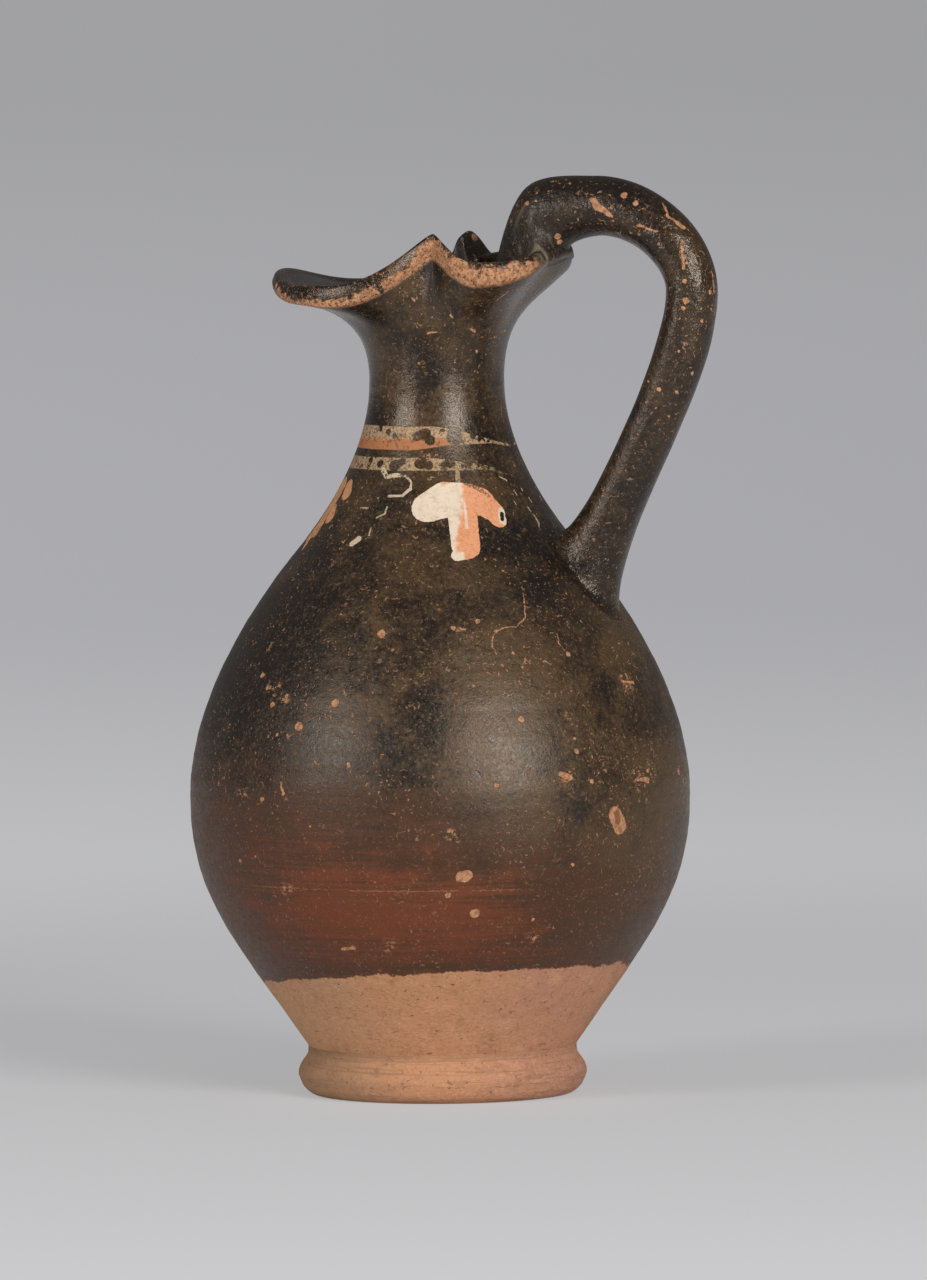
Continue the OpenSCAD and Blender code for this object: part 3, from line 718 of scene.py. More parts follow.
def make_dab():
    """One stroke of a brush or one gouge: a tapered line from Start to End."""
    ends = {"Start": (0.0, 0.0, 0.0), "End": (1.0, 0.0, 0.0), "Start_Radius": 1.0, "End_Radius": 1.0}
    tree, b, put, out = effect("brush dab", {"Mask": "Float"}, **ends, Soft=0.12)
    line, rel = (b.vector("SUBTRACT", put[key], put["Start"]) for key in ("End", "Position"))
    along = b.vector("DOT_PRODUCT", rel, line) / b.vector("DOT_PRODUCT", line, line)
    along = b.sum("MINIMUM", b.larger(along, 0.0), 1.0)
    near = b.vector("SUBTRACT", rel, b.vector("SCALE", line, scale=along))
    radius = put["Start Radius"] + (put["End Radius"] - put["Start Radius"]) * along
    b.feed(out["Mask"], b.step(b.vector("LENGTH", near), radius + put["Soft"], radius - put["Soft"]))
    return tree


def make_clay_body():
    """Fired clay: tan on one side and pinker on the other, gritty, with dark pits and fine drag marks."""
    tree, b, put, out = effect("clay body", {"Colour": "Color", "Height": "Float"})
    p = put["Position"]
    side = b.split(p)[0] * 0.02 + (b.noise(p, 0.05, 3) - 0.5) * 1.2
    body = b.blend(CLAY_TAN, CLAY_WARM, b.step(side, -0.6, 0.2))
    body = b.blend(body, CLAY_PINK, b.step(side, 0.1, 1.1))
    cloud = b.noise(b.stretch(p, 1, 1, 1.7), 0.14, 4, 0.65)
    body = b.blend(body, CLAY_PALE, b.step(cloud, 0.5, 0.78) * 0.6)
    body = b.blend(body, CLAY_DULL, b.step(b.noise(b.shift(p, 9, 4, 1), 0.26, 5, 0.7), 0.5, 0.72) * 0.6)
    grit = b.noise(b.stretch(p, 1, 1, 1.5), 1.1, 4, 0.78)
    body = b.blend(body, GRIT_DARK, b.step(grit, 0.53, 0.68) * 0.5)
    body = b.blend(body, GRIT_LIGHT, b.step(grit, 0.45, 0.34) * 0.5)
    pits = b.mask(FLECKS, Position=b.stretch(p, 1, 1, 1.5), Scale=0.5, Size=0.15, Share=0.3, Ragged=0.9)
    nicks = b.mask(HAIRS, Position=b.stretch(p, 1, 1, 2.2), Scale=0.24, Width=0.016, Share=0.3)
    body = b.blend(body, CLAY_PIT, pits * 0.8)
    b.feed(out["Colour"], b.blend(body, CLAY_NICK, nicks * 0.6))
    b.feed(out["Height"], (grit - 0.5) * 0.2 + (cloud - 0.5) * 0.16 - pits * 0.14 - nicks * 0.08)
    return tree


def make_slip_coat():
    """The black slip over the clay: mottled black, olive and brown, misfired to red in places, flecked and scratched
    through to the clay, with a finish that is glossier where it lies thick."""
    tree, b, put, out = effect(
        "slip coat", {"Colour": "Color", "Roughness": "Float", "Height": "Float"}, Clay_Colour=(0.5, 0.3, 0.2, 1.0),
        Clay_Height=0.0, Streaks=0.5, Wheel_Height=0.0, Covered=1.0, Redness=0.0, Worn=0.0, Flecked=1.0, Gloss=0.0,
        Depth=0.0,
    )
    p, redness, flecked, depth = (put[key] for key in ("Position", "Redness", "Flecked", "Depth"))
    x = b.split(p)[0]
    clouds, blots = b.noise(p, 0.035, 3, 0.6), b.noise(b.shift(p, 5, 2, 8), 0.13, 4, 0.65)
    grain, dust = b.noise(p, 0.95, 4, 0.75), b.noise(b.shift(p, 2, 6, 1), 2.3, 2, 0.6)
    wrinkle = b.sum("ABSOLUTE", b.noise(b.stretch(p, 1, 1, 1.3), 0.6, 3, 0.65) - 0.5)
    # The olive share grows with x up to 34 mm: painted light, lighter slip on the handle side that the key lamp
    # lights.
    olive = clouds * 1.2 + blots * 0.7 + grain * 0.4 + b.sum("MINIMUM", x, 34.0) * 0.0045 - depth * 0.2
    tone = b.blend(SLIP_BLACK, SLIP_OLIVE, b.step(olive, 0.98, 1.42))
    tone = b.blend(tone, SLIP_TAN, b.step(grain + blots * 0.5, 0.72, 1.0) * 0.35)
    tone = b.blend(tone, SLIP_PIT, b.step(grain * 0.4 + dust * 0.6, 0.48, 0.34) * 0.5)
    red = redness + (clouds - 0.5) * 0.35 * redness + (put["Streaks"] - 0.5) * 0.55 * redness
    tone = b.blend(tone, SLIP_BROWN, b.step(red + (grain - 0.5) * 0.5, 0.02, 0.55))
    tone = b.blend(tone, SLIP_RED, b.step(red + (blots - 0.5) * 0.9 + (grain - 0.5) * 0.4, 0.42, 1.15) * 0.85)
    speck = b.step(dust * 0.7 + grain * 0.3, 0.59, 0.66)
    tone = b.blend(tone, SLIP_SPECK, speck * (0.42 - depth * 0.2))
    tone = b.blend(tone, SLIP_THICK, depth * 0.4)

    small = b.mask(FLECKS, Position=p, Scale=0.5, Size=0.17, Share=flecked * 0.32, Ragged=0.9)
    tiny = b.mask(FLECKS, Position=b.shift(p, 3, 9, 4), Scale=1.1, Size=0.2, Share=flecked * 0.2, Ragged=0.8)
    chips = b.mask(FLECKS, Position=b.shift(p, 7, 1, 6), Scale=0.13, Size=0.08, Share=flecked * 0.4, Ragged=0.22)
    hairs = b.mask(HAIRS, Position=p, Scale=0.34, Width=0.022, Share=0.2)
    curls = b.mask(HAIRS, Position=b.shift(p, 17, 3, 5), Scale=0.85, Width=0.055, Share=0.22)
    scuffs = b.step(b.noise(b.stretch(p, 1, 1, 2.4), 0.62, 4, 0.75), 0.64, 0.67)
    scuffs = scuffs * b.step(b.noise(p, 0.06, 2), 0.48, 0.6)
    crowd = b.step(b.noise(p, 0.07, 2), 0.36, 0.64, 0.25, 1.0) * (1.0 - redness * 0.6)
    bare = b.larger(b.larger(small, chips), b.larger(tiny, b.larger(hairs, curls)) * 0.8) * crowd
    bare = b.larger(bare, scuffs * flecked * 0.9)
    worn = b.larger(bare, put["Worn"])
    tone = b.blend(tone, b.blend(BARED_DARK, BARED_LIGHT, b.step(grain, 0.38, 0.6)), worn)
    b.feed(out["Colour"], b.blend(put["Clay Colour"], tone, put["Covered"]))

    left = put["Covered"] * (1.0 - worn)
    gloss = 0.35 - put["Gloss"] * 0.13 + (grain - 0.5) * 0.7 + (blots - 0.5) * 0.3 + wrinkle * 0.4 + red * 0.2
    b.feed(out["Roughness"], 0.86 + (gloss - 0.86) * left)
    sag = b.noise(p, 0.09, 2, 0.5)
    relief = (grain - 0.5) * 0.08 + (dust - 0.5) * 0.03 + wrinkle * 0.12 + (sag - 0.5) * 0.25 + put["Wheel Height"]
    b.feed(out["Height"], relief + left * 0.07 + (1.0 - left) * put["Clay Height"] * 0.7 - bare * 0.05)
    return tree


FLECKS, HAIRS, WHEEL_LINES, DAB = make_flecks(), make_hairs(), make_wheel_lines(), make_dab()
CLAY_BODY, SLIP_COAT = make_clay_body(), make_slip_coat()


# ------------------------------------------------ where each mark lies
# A place on the wall is (angle, height, radius) and one on neck or handle (x, y, z, radius), in degrees and mm.
# Places in square brackets are a stroke from one to the next.
CHIPS = [
    (-87, 106.2, 1), (-58.2, 108.8, 0.6), (-65.8, 107.5, 0.6), (-123.5, 96.5, 0.7), (-96.8, 91.2, 1), (-106, 85.8, 1),
    (-116.2, 90.2, 0.7), (-119.8, 93.8, 0.5), (-112, 92.2, 0.5), (-32, 101, 0.6), (-49.2, 101.8, 0.4),
    (-50, 87.5, 0.8), (-36.5, 80, 0.6), (-36.5, 82.8, 0.45), (-33.2, 73.2, 0.6), (2.2, 73, 0.8), (-57.2, 73.2, 0.6),
    (-91.5, 77.8, 0.5), (-115, 69.5, 0.6), (-101.2, 64, 0.35), (-124.5, 55.2, 0.5), (-118.5, 56.5, 0.4),
    (-61.8, 44.5, 1.15), (-68.5, 48.8, 0.7), (-38, 54.8, 0.5), (-45, 38.2, 0.6), (-46.5, 42.8, 0.45),
    (-112.2, 83.8, 0.45),
]
GOUGES = [
    [(-15.8, 94.3, 0.3), (-10.5, 93.8, 0.42)], [(-41.6, 75.2, 0.55), (-39.2, 74.4, 0.8)],
    [(-18.6, 72.8, 0.4), (-14.6, 72.4, 0.65)], [(-65.2, 52.9, 1.3), (-63.9, 53.3, 1.3)],
    [(-98, 36.1, 0.4), (-94.6, 36.4, 0.55)], [(-109.4, 73.4, 0.3), (-108.4, 70.8, 0.45)], [(-40, 116, 0.1),
    (-41.5, 111.8, 0.17), (-42.6, 109.2, 0.2), (-46.4, 107.4, 0.14), (-51, 107.3, 0.2), (-54.4, 105.6, 0.17),
    (-55, 103.6, 0.2), (-53.8, 101.2, 0.12)], [(-33.4, 105.6, 0.12), (-34, 103.4, 0.17), (-32.4, 101.4, 0.12)],
]
BIG_CHIP = [[(-26.6, 65.5, 1.9), (-25, 62.9, 2)]]
BIG_CHIP_HEART = [[(-25.9, 65.6, 0.8), (-25.5, 64, 0.9)]]
SCUFFED = [
    (-14, 94, 2.4), (-18, 73, 2.6), (-13, 74.5, 2), (-30, 76.5, 2.2), (-40, 74.6, 2), (-117, 94, 2.2),
    (-112, 91.5, 1.4), (-122, 70, 1.6), (-110, 50, 1.6), (-67, 62.5, 1.6), (-62, 106.5, 1.8), (-38, 88, 1.4),
    (-84, 37, 1.8), (-45.5, 38.5, 1.2), (-58, 73.5, 1.4), (30, 84, 3), (168, 60, 3), (108, 100, 3),
]
DARK_CLOUDS = [(-32, 116, 12), (-150, 98, 14), (60, 104, 16), (140, 88, 18)]
BAND_BLOTS = [
    (-85, 148.8, 1.2), (-80, 149.2, 1.5), (-75.5, 148, 1.3), (-57, 148.7, 1.8), (-66.5, 150.2, 0.5),
    (-42, 148.8, 0.75), (-37, 148, 0.6), (-50.5, 147.6, 0.45), (-33, 147.9, 0.45), (-29, 147.6, 0.4),
    (-24.5, 147.3, 0.3), (-111, 149.6, 0.7), (-104, 149, 0.8), (-120, 150.6, 0.6), (-47.5, 149.9, 0.4),
    (-122, 143.4, 0.8), (-112, 142.8, 0.9), (-99.4, 142.4, 1.4), (-95, 143.2, 1), (-81, 142.9, 1.6),
    (-76, 142.5, 1.2), (-61.8, 142.9, 1.25), (-66, 142.4, 0.7), (-48.4, 142.7, 0.7), (-53, 142.2, 0.5),
    (-42, 142.4, 0.6),
]
LEAF = [
    [(-75, 133.3, 3.8), (-65.5, 134.9, 4.5)], [(-65.5, 135, 4.3), (-57, 135.2, 3.9)],
    [(-57.2, 133.2, 3.4), (-58.2, 124.8, 3.3)], [(-53, 134.9, 4.1), (-46, 134.3, 3.7)],
    [(-46, 134.3, 3.6), (-40, 132.1, 2.9)], [(-40, 132, 2.7), (-39, 130.5, 2.2)],
    [(-62.2, 122.9, 1.5), (-57, 122.9, 0.9)],
]
LEAF_STREAK = [[(-55.3, 134, 0.3), (-56.4, 128.8, 0.34)]]
LEAF_EYE = [[(-35.4, 131.6, 0.5), (-36.6, 130.4, 0.5)]]
EYE_RIM = [[(-35.3, 132.1, 1), (-36.4, 130, 1)]]
LEAF_STRIP = [[(-53, 138.3, 0.5), (-46.5, 137.6, 0.75)], [(-46.5, 137.6, 0.7), (-40, 135.6, 0.3)]]
LEAF_BLUSH = [[(-67, 138.7, 0.5), (-60, 139.2, 0.6)]]
STEM = [[(-57, 142.4, 0.5), (-57.5, 138.8, 0.6)]]
TENDRIL = [
    [(-107.8, 141.3, 0.6), (-103.6, 139.9, 0.55), (-96.5, 140.3, 0.5), (-90.5, 140.1, 0.35)],
    [(-90.5, 140.1, 0.3), (-86, 138.8, 0.25), (-86.2, 137.3, 0.3)], [(-86.2, 137.3, 0.42), (-90.5, 135.8, 0.35)],
    [(-90.5, 135.8, 0.3), (-98.6, 135.7, 0.32)],
]
PALE_SPOT = [[(-109.8, 125.3, 0.8), (-107.6, 126.3, 0.85)]]
TOUCHES = [
    [(-102, 131, 0.2), (-98, 131.9, 0.22), (-98, 133.4, 0.2)], [(-114.8, 133, 0.18), (-109.8, 133, 0.22)],
    [(-103.2, 128.8, 0.14), (-102.7, 127.2, 0.25)], [(-27.8, 139.6, 0.15), (-22.8, 138.7, 0.22)],
    [(-19.8, 136.4, 0.2), (-19.2, 135.4, 0.16)], [(-23.8, 134.2, 0.12), (-23.4, 133.4, 0.16)],
    [(-11.8, 136.6, 0.24), (-11.6, 136.2, 0.2)], [(-14.8, 132.6, 0.22), (-14.2, 131.6, 0.16)],
    [(-13.4, 131, 0.2), (-12.8, 129.3, 0.3), (-14.6, 128.3, 0.2)], [(-8.6, 134.6, 0.2), (-8, 133.6, 0.14)],
    [(2.6, 128.3, 0.2), (3, 127.9, 0.24)],
]
SIDE_LEAF = [
    [(-137, 137.6, 1.5), (-134.6, 136, 1.9)], [(-141.5, 132.2, 1.5), (-138.8, 130.6, 1.8)],
    [(-147, 129.6, 1.9), (-144.5, 127, 1.4)], [(-150, 136.5, 3.2), (-150, 126.4, 2.2)],
    [(-148, 124.6, 0.9), (-146.5, 123.4, 0.5)],
]
NECK_CHIPS = [
    (4.8, -14.3, 177.6, 0.3), (13, -9.1, 167.6, 0.36), (15.9, -5.2, 170.5, 0.3), (16.7, -1, 171.8, 0.36),
    (1.3, -15.1, 165.1, 0.3), (17.9, 4.2, 174.7, 0.3), (19.8, 1.7, 178.1, 0.3), (21.7, -0.5, 180.7, 0.3),
    (-33.3, -13.2, 182.2, 0.7), (-32, -15, 181.3, 0.9), (-29.4, -17.6, 180.4, 0.5), (5.3, 12.4, 192.5, 0.9),
    (26.6, -13.3, 187.6, 0.45),
]
NECK_SCRATCHES = [
    [(3.3, -14.7, 171.8, 0.22), (5.4, -14.3, 172.1, 0.16)], [(8.7, -15, 175.9, 0.22), (13.2, -11, 172.1, 0.3)],
    [(19.2, -13.4, 179, 0.14), (22, -13.6, 181.2, 0.2)], [(0.1, -16.2, 179.8, 0.2), (0.6, -16.1, 179.2, 0.25)],
    [(23, -11.2, 181.8, 0.2), (23.8, -10.6, 181.2, 0.3)],
]
HANDLE_CHIPS = [
    (46.7, -5.4, 202.6, 0.75), (49.6, -5.7, 200.9, 0.6), (24, -6.5, 200.8, 0.6), (26.2, -6.5, 201.4, 0.36),
    (31.6, -6.7, 196.9, 0.36), (35.7, -6.7, 198.9, 0.3), (36.1, -6.2, 197.1, 0.3), (64.7, -4.3, 174.5, 0.5),
    (61.8, -3.5, 162.6, 0.45), (61.6, -6.6, 179.2, 0.7), (61, -6.6, 177.5, 0.55), (59.9, -6.4, 167.8, 0.3),
    (55.1, -6.7, 159.3, 0.5), (51.9, -6.4, 156.3, 0.36), (58.9, -5.2, 158.6, 0.45), (66.1, -3, 181, 0.45),
    (66.1, -2.3, 176.9, 0.36), (60.6, -5.4, 192.3, 0.36), (61.9, -6.1, 187.6, 0.36), (61.4, -6.6, 183.6, 0.45),
    (50.4, -6.2, 193.7, 0.3), (55.4, -6.6, 191.8, 0.3), (52.2, -5.6, 161, 0.36), (31.1, -5.1, 193.2, 0.8),
    (31.1, -4, 191.9, 0.7),
]
HANDLE_FLAKES = [
    [(39.6, -6.4, 201.7, 0.6), (41.2, -6.7, 199.8, 0.95)], [(41.2, -6.7, 199.8, 0.9), (44.3, -6.6, 198, 0.4)],
    [(61.3, -6.6, 186.4, 0.3), (60.6, -6.3, 191.6, 0.35)], [(66.5, -1.5, 185.6, 0.2), (66.4, -1.6, 180.8, 0.3)],
    [(50.4, -6.4, 195.9, 0.3), (54.9, -6.6, 194.6, 0.25)], [(55, -2.8, 200.6, 0.25), (56.8, -4.3, 198, 0.35)],
    [(56.8, -4.3, 198, 0.3), (60.2, -3.6, 195.4, 0.55)],
]
SCORED_Z = 49.7
# Lowest and highest edge of each painted band
LOWER_BAND, UPPER_BAND = (141.3, 144.1), (145.8, 151.0)


def seat(angle, z):
    """The point of the thrown wall at an angle and a height."""
    r, a = float(outer_r(z)), math.radians(angle)
    return tuple(float(x) for x in thrown(np.array([(r * math.cos(a), r * math.sin(a), z)]))[0])


def settled(body, *point):
    """The point of a piece's surface nearest to a place in mm."""
    return tuple(body.closest_point_on_mesh(Vector(point) * MM)[1] / MM)


def dabs(b, p, strokes, soft=0.07, place=seat):
    """A mask of strokes. The marks are compared one by one, which keeps the shader's memory small."""
    marks = []
    for stroke in strokes:
        for (*start, r), (*end, s) in zip(stroke, stroke[1:]):
            ends = {"Start": place(*start), "End": place(*end), "Start_Radius": r, "End_Radius": s}
            marks = [b.larger(*marks, b.mask(DAB, Position=p, **ends, Soft=soft))]
    return marks[0]


def dots(b, p, places, soft=0.07, place=seat):
    """A mask of round marks."""
    marks = []
    for *middle, r in places:
        marks = [b.larger(*marks, b.step(b.vector("DISTANCE", p, place(*middle)), r + soft, r - soft))]
    return marks[0]


# ------------------------------------------------ the finishes
def coated(b, p, covered=1.0, redness=0.0, worn=0.0, flecked=1.0, gloss=0.0, depth=0.0):
    """Colour, roughness and height of slip over clay."""
    clay, wheel = b.use(CLAY_BODY, Position=p), b.use(WHEEL_LINES, Position=p)
    coat = b.use(
        SLIP_COAT, Position=p, Clay_Colour=b.wire(clay, "Colour"), Clay_Height=b.wire(clay, "Height"),
        Streaks=b.wire(wheel, "Streaks"), Wheel_Height=b.wire(wheel, "Height"), Covered=covered, Redness=redness,
        Worn=worn, Flecked=flecked, Gloss=gloss, Depth=depth,
    )
    return [b.wire(coat, key) for key in ("Colour", "Roughness", "Height")]


def belly_masks(b, p):
    """Where the slip reaches down to, and where the kiln turned it red."""
    x, y, z = b.split(p)
    wander = (b.noise(b.stretch(p, 1, 1, 0.3), 0.12, 4, 0.6) - 0.5) * 3.0 + (b.noise(p, 1.2, 3) - 0.5) * 0.8
    above = z - (27.0 + x * 0.065 - y * 0.0645) + wander
    covered = b.step(above + (b.noise(p, 2.0, 3, 0.7) - 0.5) * 0.9, -0.16, 0.2)
    cloud = (b.noise(b.stretch(p, 1, 1, 1.6), 0.045, 3, 0.6) - 0.5) * 22
    over = z - (68.0 - x * 0.2) + cloud
    brown = b.step(over, 20.0, -22.0) * b.step(y, 44.0, 0.0)
    across = x * 0.94 + y * 0.342 + cloud * 0.5
    heart = b.step(z, 27.0, 41.0) * b.step(over, 14.0, -24.0) * b.step(across, 40.0, 0.0)
    heart = heart * b.step(across, -54.0, -22.0) * b.step(y, 10.0, -30.0)
    heart = heart * (0.34 + b.noise(b.stretch(p, 1, 1, 2.0), 0.09, 4, 0.7) * 0.38)
    edge = b.step(above, 3.0, 0.3) * b.step(above, -0.4, 0.4)
    return covered, b.larger(brown * 0.48 + heart, edge * 0.7)


def darkened(b, p):
    """Where the slip lies thick and blue-black."""
    return dots(b, b.wobbled(p, 6.0, 0.06), DARK_CLOUDS, 10.0)


def back_of_belly(b, p):
    covered, red = belly_masks(b, p)
    return coated(b, p, covered, red, depth=darkened(b, p))


def front_of_belly(b, p):
    """The side that the camera sees, with its own chips, gouges and scuffs and one line that a tool scored."""
    covered, red = belly_masks(b, p)
    q = b.wobbled(b.wobbled(p, 0.5, 0.7), 0.28, 2.0)
    worn = b.larger(dots(b, q, CHIPS), dabs(b, q, GOUGES), dabs(b, q, BIG_CHIP, 0.12))
    _, y, z = b.split(q)
    scuffed = dots(b, b.wobbled(p, 2.4, 0.25), SCUFFED, 0.9)
    scuffed = scuffed * b.step(b.noise(b.stretch(p, 1, 1, 1.8), 0.62, 4, 0.78), 0.53, 0.56)
    scored = b.step(b.sum("ABSOLUTE", z - SCORED_Z), 0.16, 0.06) * b.step(b.noise(p, 0.14, 4), 0.4, 0.5)
    scored = scored * b.step(y, -40.0, -44.0) * 0.4
    heart = dabs(b, q, BIG_CHIP_HEART, 0.25)
    colour, rough, height = coated(b, p, covered, red, b.larger(worn, scored, scuffed), depth=darkened(b, p))
    return b.blend(colour, CHIP_HEART, heart * 0.75), rough, height - heart * 0.15 - worn * 0.1


def garland(b, p):
    """Colour and mask of two speckled bands and the leaves that hang from them, in cream and orange. They are drawn
    for the camera's side, and the far side mirrors it."""
    x, y, z = b.split(p)
    near = b.wire(b.node("CombineXYZ", {0: x, 1: 0.0 - b.sum("ABSOLUTE", y), 2: z}))
    q = b.wobbled(near, 0.2, 1.3)
    qx, qy, qz = b.split(q)
    angle = b.sum("ARCTAN2", qy, qx) * math.degrees(1)
    fine, mid = b.noise(near, 2.2, 3, 0.7), b.noise(near, 0.75, 4, 0.65)

    def between(low, top):
        return b.step(qz - low, -0.1, 0.12) * b.step(top - qz, -0.1, 0.12)

    # Both bands come lower and end near the handle
    fade = b.step(angle, -2.0, -9.0)
    gaps = b.step(angle, -62.0, -30.0, 0.0, 0.1)
    low = UPPER_BAND[0] + b.step(angle, -91.0, -55.0) * 1.2 - b.step(angle, -30.0, 0.0) * 1.1
    upper = between(low, UPPER_BAND[1] - b.step(angle, -78.0, 4.0) * 4.6) * fade * b.step(mid - gaps, 0.3, 0.36)
    top = LOWER_BAND[1] - b.step(angle, -78.0, -34.0) * 1.6 - b.step(angle, -42.0, -8.0) * 3.2
    lower = between(LOWER_BAND[0] - b.step(angle, -40.0, -8.0) * 2.3, top) * fade
    lower = lower * b.step(mid * 0.6 + fine * 0.4 - gaps * 0.9, 0.41, 0.47)
    ragged = b.wobbled(b.wobbled(near, 0.7, 0.45), 0.4, 1.6)
    bands = b.larger(upper, lower) * (1.0 - dots(b, ragged, BAND_BLOTS, 0.14) * b.step(fine, 0.76, 0.64))

    # The leaf that faces the camera: cream on one half, orange on the other, with a dark eye
    leaf, stem = dabs(b, q, LEAF), dabs(b, q, STEM) * b.step(fine, 0.32, 0.4)
    strip = dabs(b, ragged, LEAF_STRIP, 0.2) * b.step(fine, 0.42, 0.5)
    border = -55.5 - b.step(qz, 137.0, 124.0) * 7.0
    warm = b.step(angle - border + (mid - 0.5) * 5, -1.2, 1.2) * (1.0 - dabs(b, q, LEAF_STREAK, 0.12) * 0.8)
    warm = warm * (1.0 - b.step(qz, 123.9, 123.4) * b.step(angle, -59.0, -60.0))
    warm = b.larger(warm * (1.0 - dabs(b, q, EYE_RIM, 0.12)), dabs(b, q, LEAF_BLUSH, 0.3) * 0.8)
    eye = dabs(b, q, LEAF_EYE)

    thin = b.step(mid * 0.6 + fine * 0.4, 0.4, 0.5)
    touches = dabs(b, q, TOUCHES, 0.12) * b.step(fine, 0.34, 0.44) * 0.85
    lines = b.larger(dabs(b, q, TENDRIL) * thin, dabs(b, q, PALE_SPOT), touches)
    side = dabs(b, q, SIDE_LEAF, 0.12)

    orange = b.step(148.2 + (mid - 0.5) * 2.4 - qz, -0.5, 0.5) * b.step(qz, 145.0, 145.4)
    orange = orange * b.step(angle, -52.0, -66.0)
    band_tone = b.blend(b.blend(BAND_CREAM, BAND_WORN, b.step(fine, 0.44, 0.62)), BAND_ORANGE, orange)
    band_tone = b.blend(band_tone, BAND_DIRT, b.step(fine * 0.5 + mid * 0.5, 0.52, 0.6) * 0.8)
    leaf_tone = b.blend(LEAF_CREAM, LEAF_SHADE, b.step(mid, 0.45, 0.75))
    warm_tone = b.blend(LEAF_ORANGE, LEAF_DEEP, b.step(fine * 0.6 + mid * 0.4, 0.46, 0.66))
    leaf_tone = b.blend(leaf_tone, warm_tone, warm)
    leaf_tone = b.blend(leaf_tone, LEAF_SPOT, b.step(b.noise(near, 3.4, 2), 0.72, 0.78) * 0.6)

    paint = b.larger(bands, lines * 0.9, stem * 0.85)
    tone = b.blend(band_tone, LINE_CREAM, lines)
    tone = b.blend(tone, b.blend(SIDE_ORANGE, SIDE_DEEP, b.step(mid, 0.4, 0.65)), side)
    tone = b.blend(tone, leaf_tone, leaf)
    paint = b.larger(paint, side * b.step(fine, 0.28, 0.33), leaf) * (1.0 - eye) * (1.0 - strip * 0.8)
    return tone, paint


def garlanded(b, p):
    """The slip of shoulder and neck with the garland painted on it."""
    tone, paint = garland(b, p)
    high = b.split(p)[2]
    colour, rough, height = coated(
        b, p, gloss=b.step(high, 128.0, 156.0), flecked=b.step(high, 116.0, 146.0, 1.0, 0.22),
        depth=b.larger(darkened(b, p), b.step(high, 121.0, 150.0, 0.0, 0.25)),
    )
    return b.blend(colour, tone, paint), rough + (0.74 - rough) * paint, height + paint * 0.035


def knocks(b, q, body, chips, scratches):
    """A mask of what has worn neck or handle, each mark drawn to the nearest point of its surface."""
    place = partial(settled, body)
    return b.larger(dots(b, q, chips, place=place), dabs(b, q, scratches, place=place))


def mouth_slip(b, p):
    """The flaring mouth: lip worn to the clay, more on the side lobes, and bare clay far down the throat."""
    x, y, z = b.split(p)
    turned = b.sum("ABSOLUTE", b.sum("ARCTAN2", y, x)) * math.degrees(1)
    side = b.step(turned, CREASE_A + 2.0, CREASE_A - 1.0)
    patch = b.noise(b.stretch(p, 1, 1, 1.6), 0.3, 5, 0.68)
    lip, up = b.mark("lip"), b.mark("lip_up")
    close = b.step(turned, CREASE_A + 34.0, CREASE_A + 2.0)
    low_edge = b.step(0.24 + close * 0.36 - up + (patch - 0.5) * 1.8, -0.05, 0.07)
    specks = b.step(b.noise(p, 1.3, 4, 0.75), 0.56, 0.62) * 0.85
    side_wear = b.step(0.68 - up + (patch - 0.5) * 1.6, -0.05, 0.06) * b.step(turned, 17.0, 26.0)
    worn = side * b.larger(side_wear, specks) + (1.0 - side) * b.larger(low_edge, specks)
    worn = lip * b.step(y, 8.0, -4.0, 0.3, 1.0) * worn
    marks = knocks(b, b.wobbled(b.wobbled(p, 0.3, 0.8), 0.2, 2.4), neck, NECK_CHIPS, NECK_SCRATCHES)
    worn = worn * (1.0 - b.step(b.noise(p, 1.5, 3, 0.7), 0.45, 0.38) * 0.8)
    # Under each crease the slip lies thick and dull, and a painted shade darkens the hollow
    pooled_slip_and_shade = b.step(b.sum("ABSOLUTE", turned - CREASE_A), 10.0, 2.5) * b.step(z, 191.0, 187.5)
    pooled_slip_and_shade = pooled_slip_and_shade * b.step(z, 171.0, 180.0) * (1.0 - lip)
    colour, rough, height = coated(
        b, p, 1.0 - b.mark("inside"), 0.0, b.larger(worn, marks), flecked=b.step(z, 160.0, 172.0, 0.22, 0.4),
        gloss=b.step(z, 128.0, 156.0) * 1.2, depth=b.larger(pooled_slip_and_shade, 0.25),
    )
    return b.blend(colour, SLIP_POOLED_SHADE, pooled_slip_and_shade * 0.6), rough + pooled_slip_and_shade * 0.35, height


def handle_slip(b, p):
    """Thick dark slip, drawn along the rod with a brush and glossiest over the arch, with pale streaks at the root
    that are partly a painted sheen.
    """
    marks = knocks(b, b.wobbled(b.wobbled(p, 0.6, 0.5), 0.35, 1.8), handle, HANDLE_CHIPS, HANDLE_FLAKES)
    along, y = b.mark("along"), b.split(p)[1]
    drawn = b.noise(b.wire(b.node("CombineXYZ", {0: along * 5.0, 1: y * 0.55, 2: 0.0})), 1.0, 4, 0.6)
    shine = b.larger(b.step(along, 0.44, 0.54) * b.step(along, 0.82, 0.72) * 1.15, b.step(along, 0.2, 0.12) * 0.8)
    colour, rough, height = coated(b, p, worn=marks, flecked=0.6, gloss=shine, depth=1.0)
    # The pale streaks at the root are brush marks in thin slip, partly a painted sheen where the root is made rougher.
    root = b.step(along, 0.86, 0.92) * b.step(y, -4.5, -6.5)
    brush_streaks_and_sheen = root * b.step(drawn, 0.42, 0.6) * b.step(b.noise(p, 0.2, 2), 0.34, 0.5) * 0.6
    height = height + (drawn - 0.5) * 0.16 + (b.noise(p, 0.42, 3, 0.6) - 0.5) * 0.42
    return b.blend(colour, BRUSH_STREAK_SHEEN, brush_streaks_and_sheen), rough + root * 0.16, height


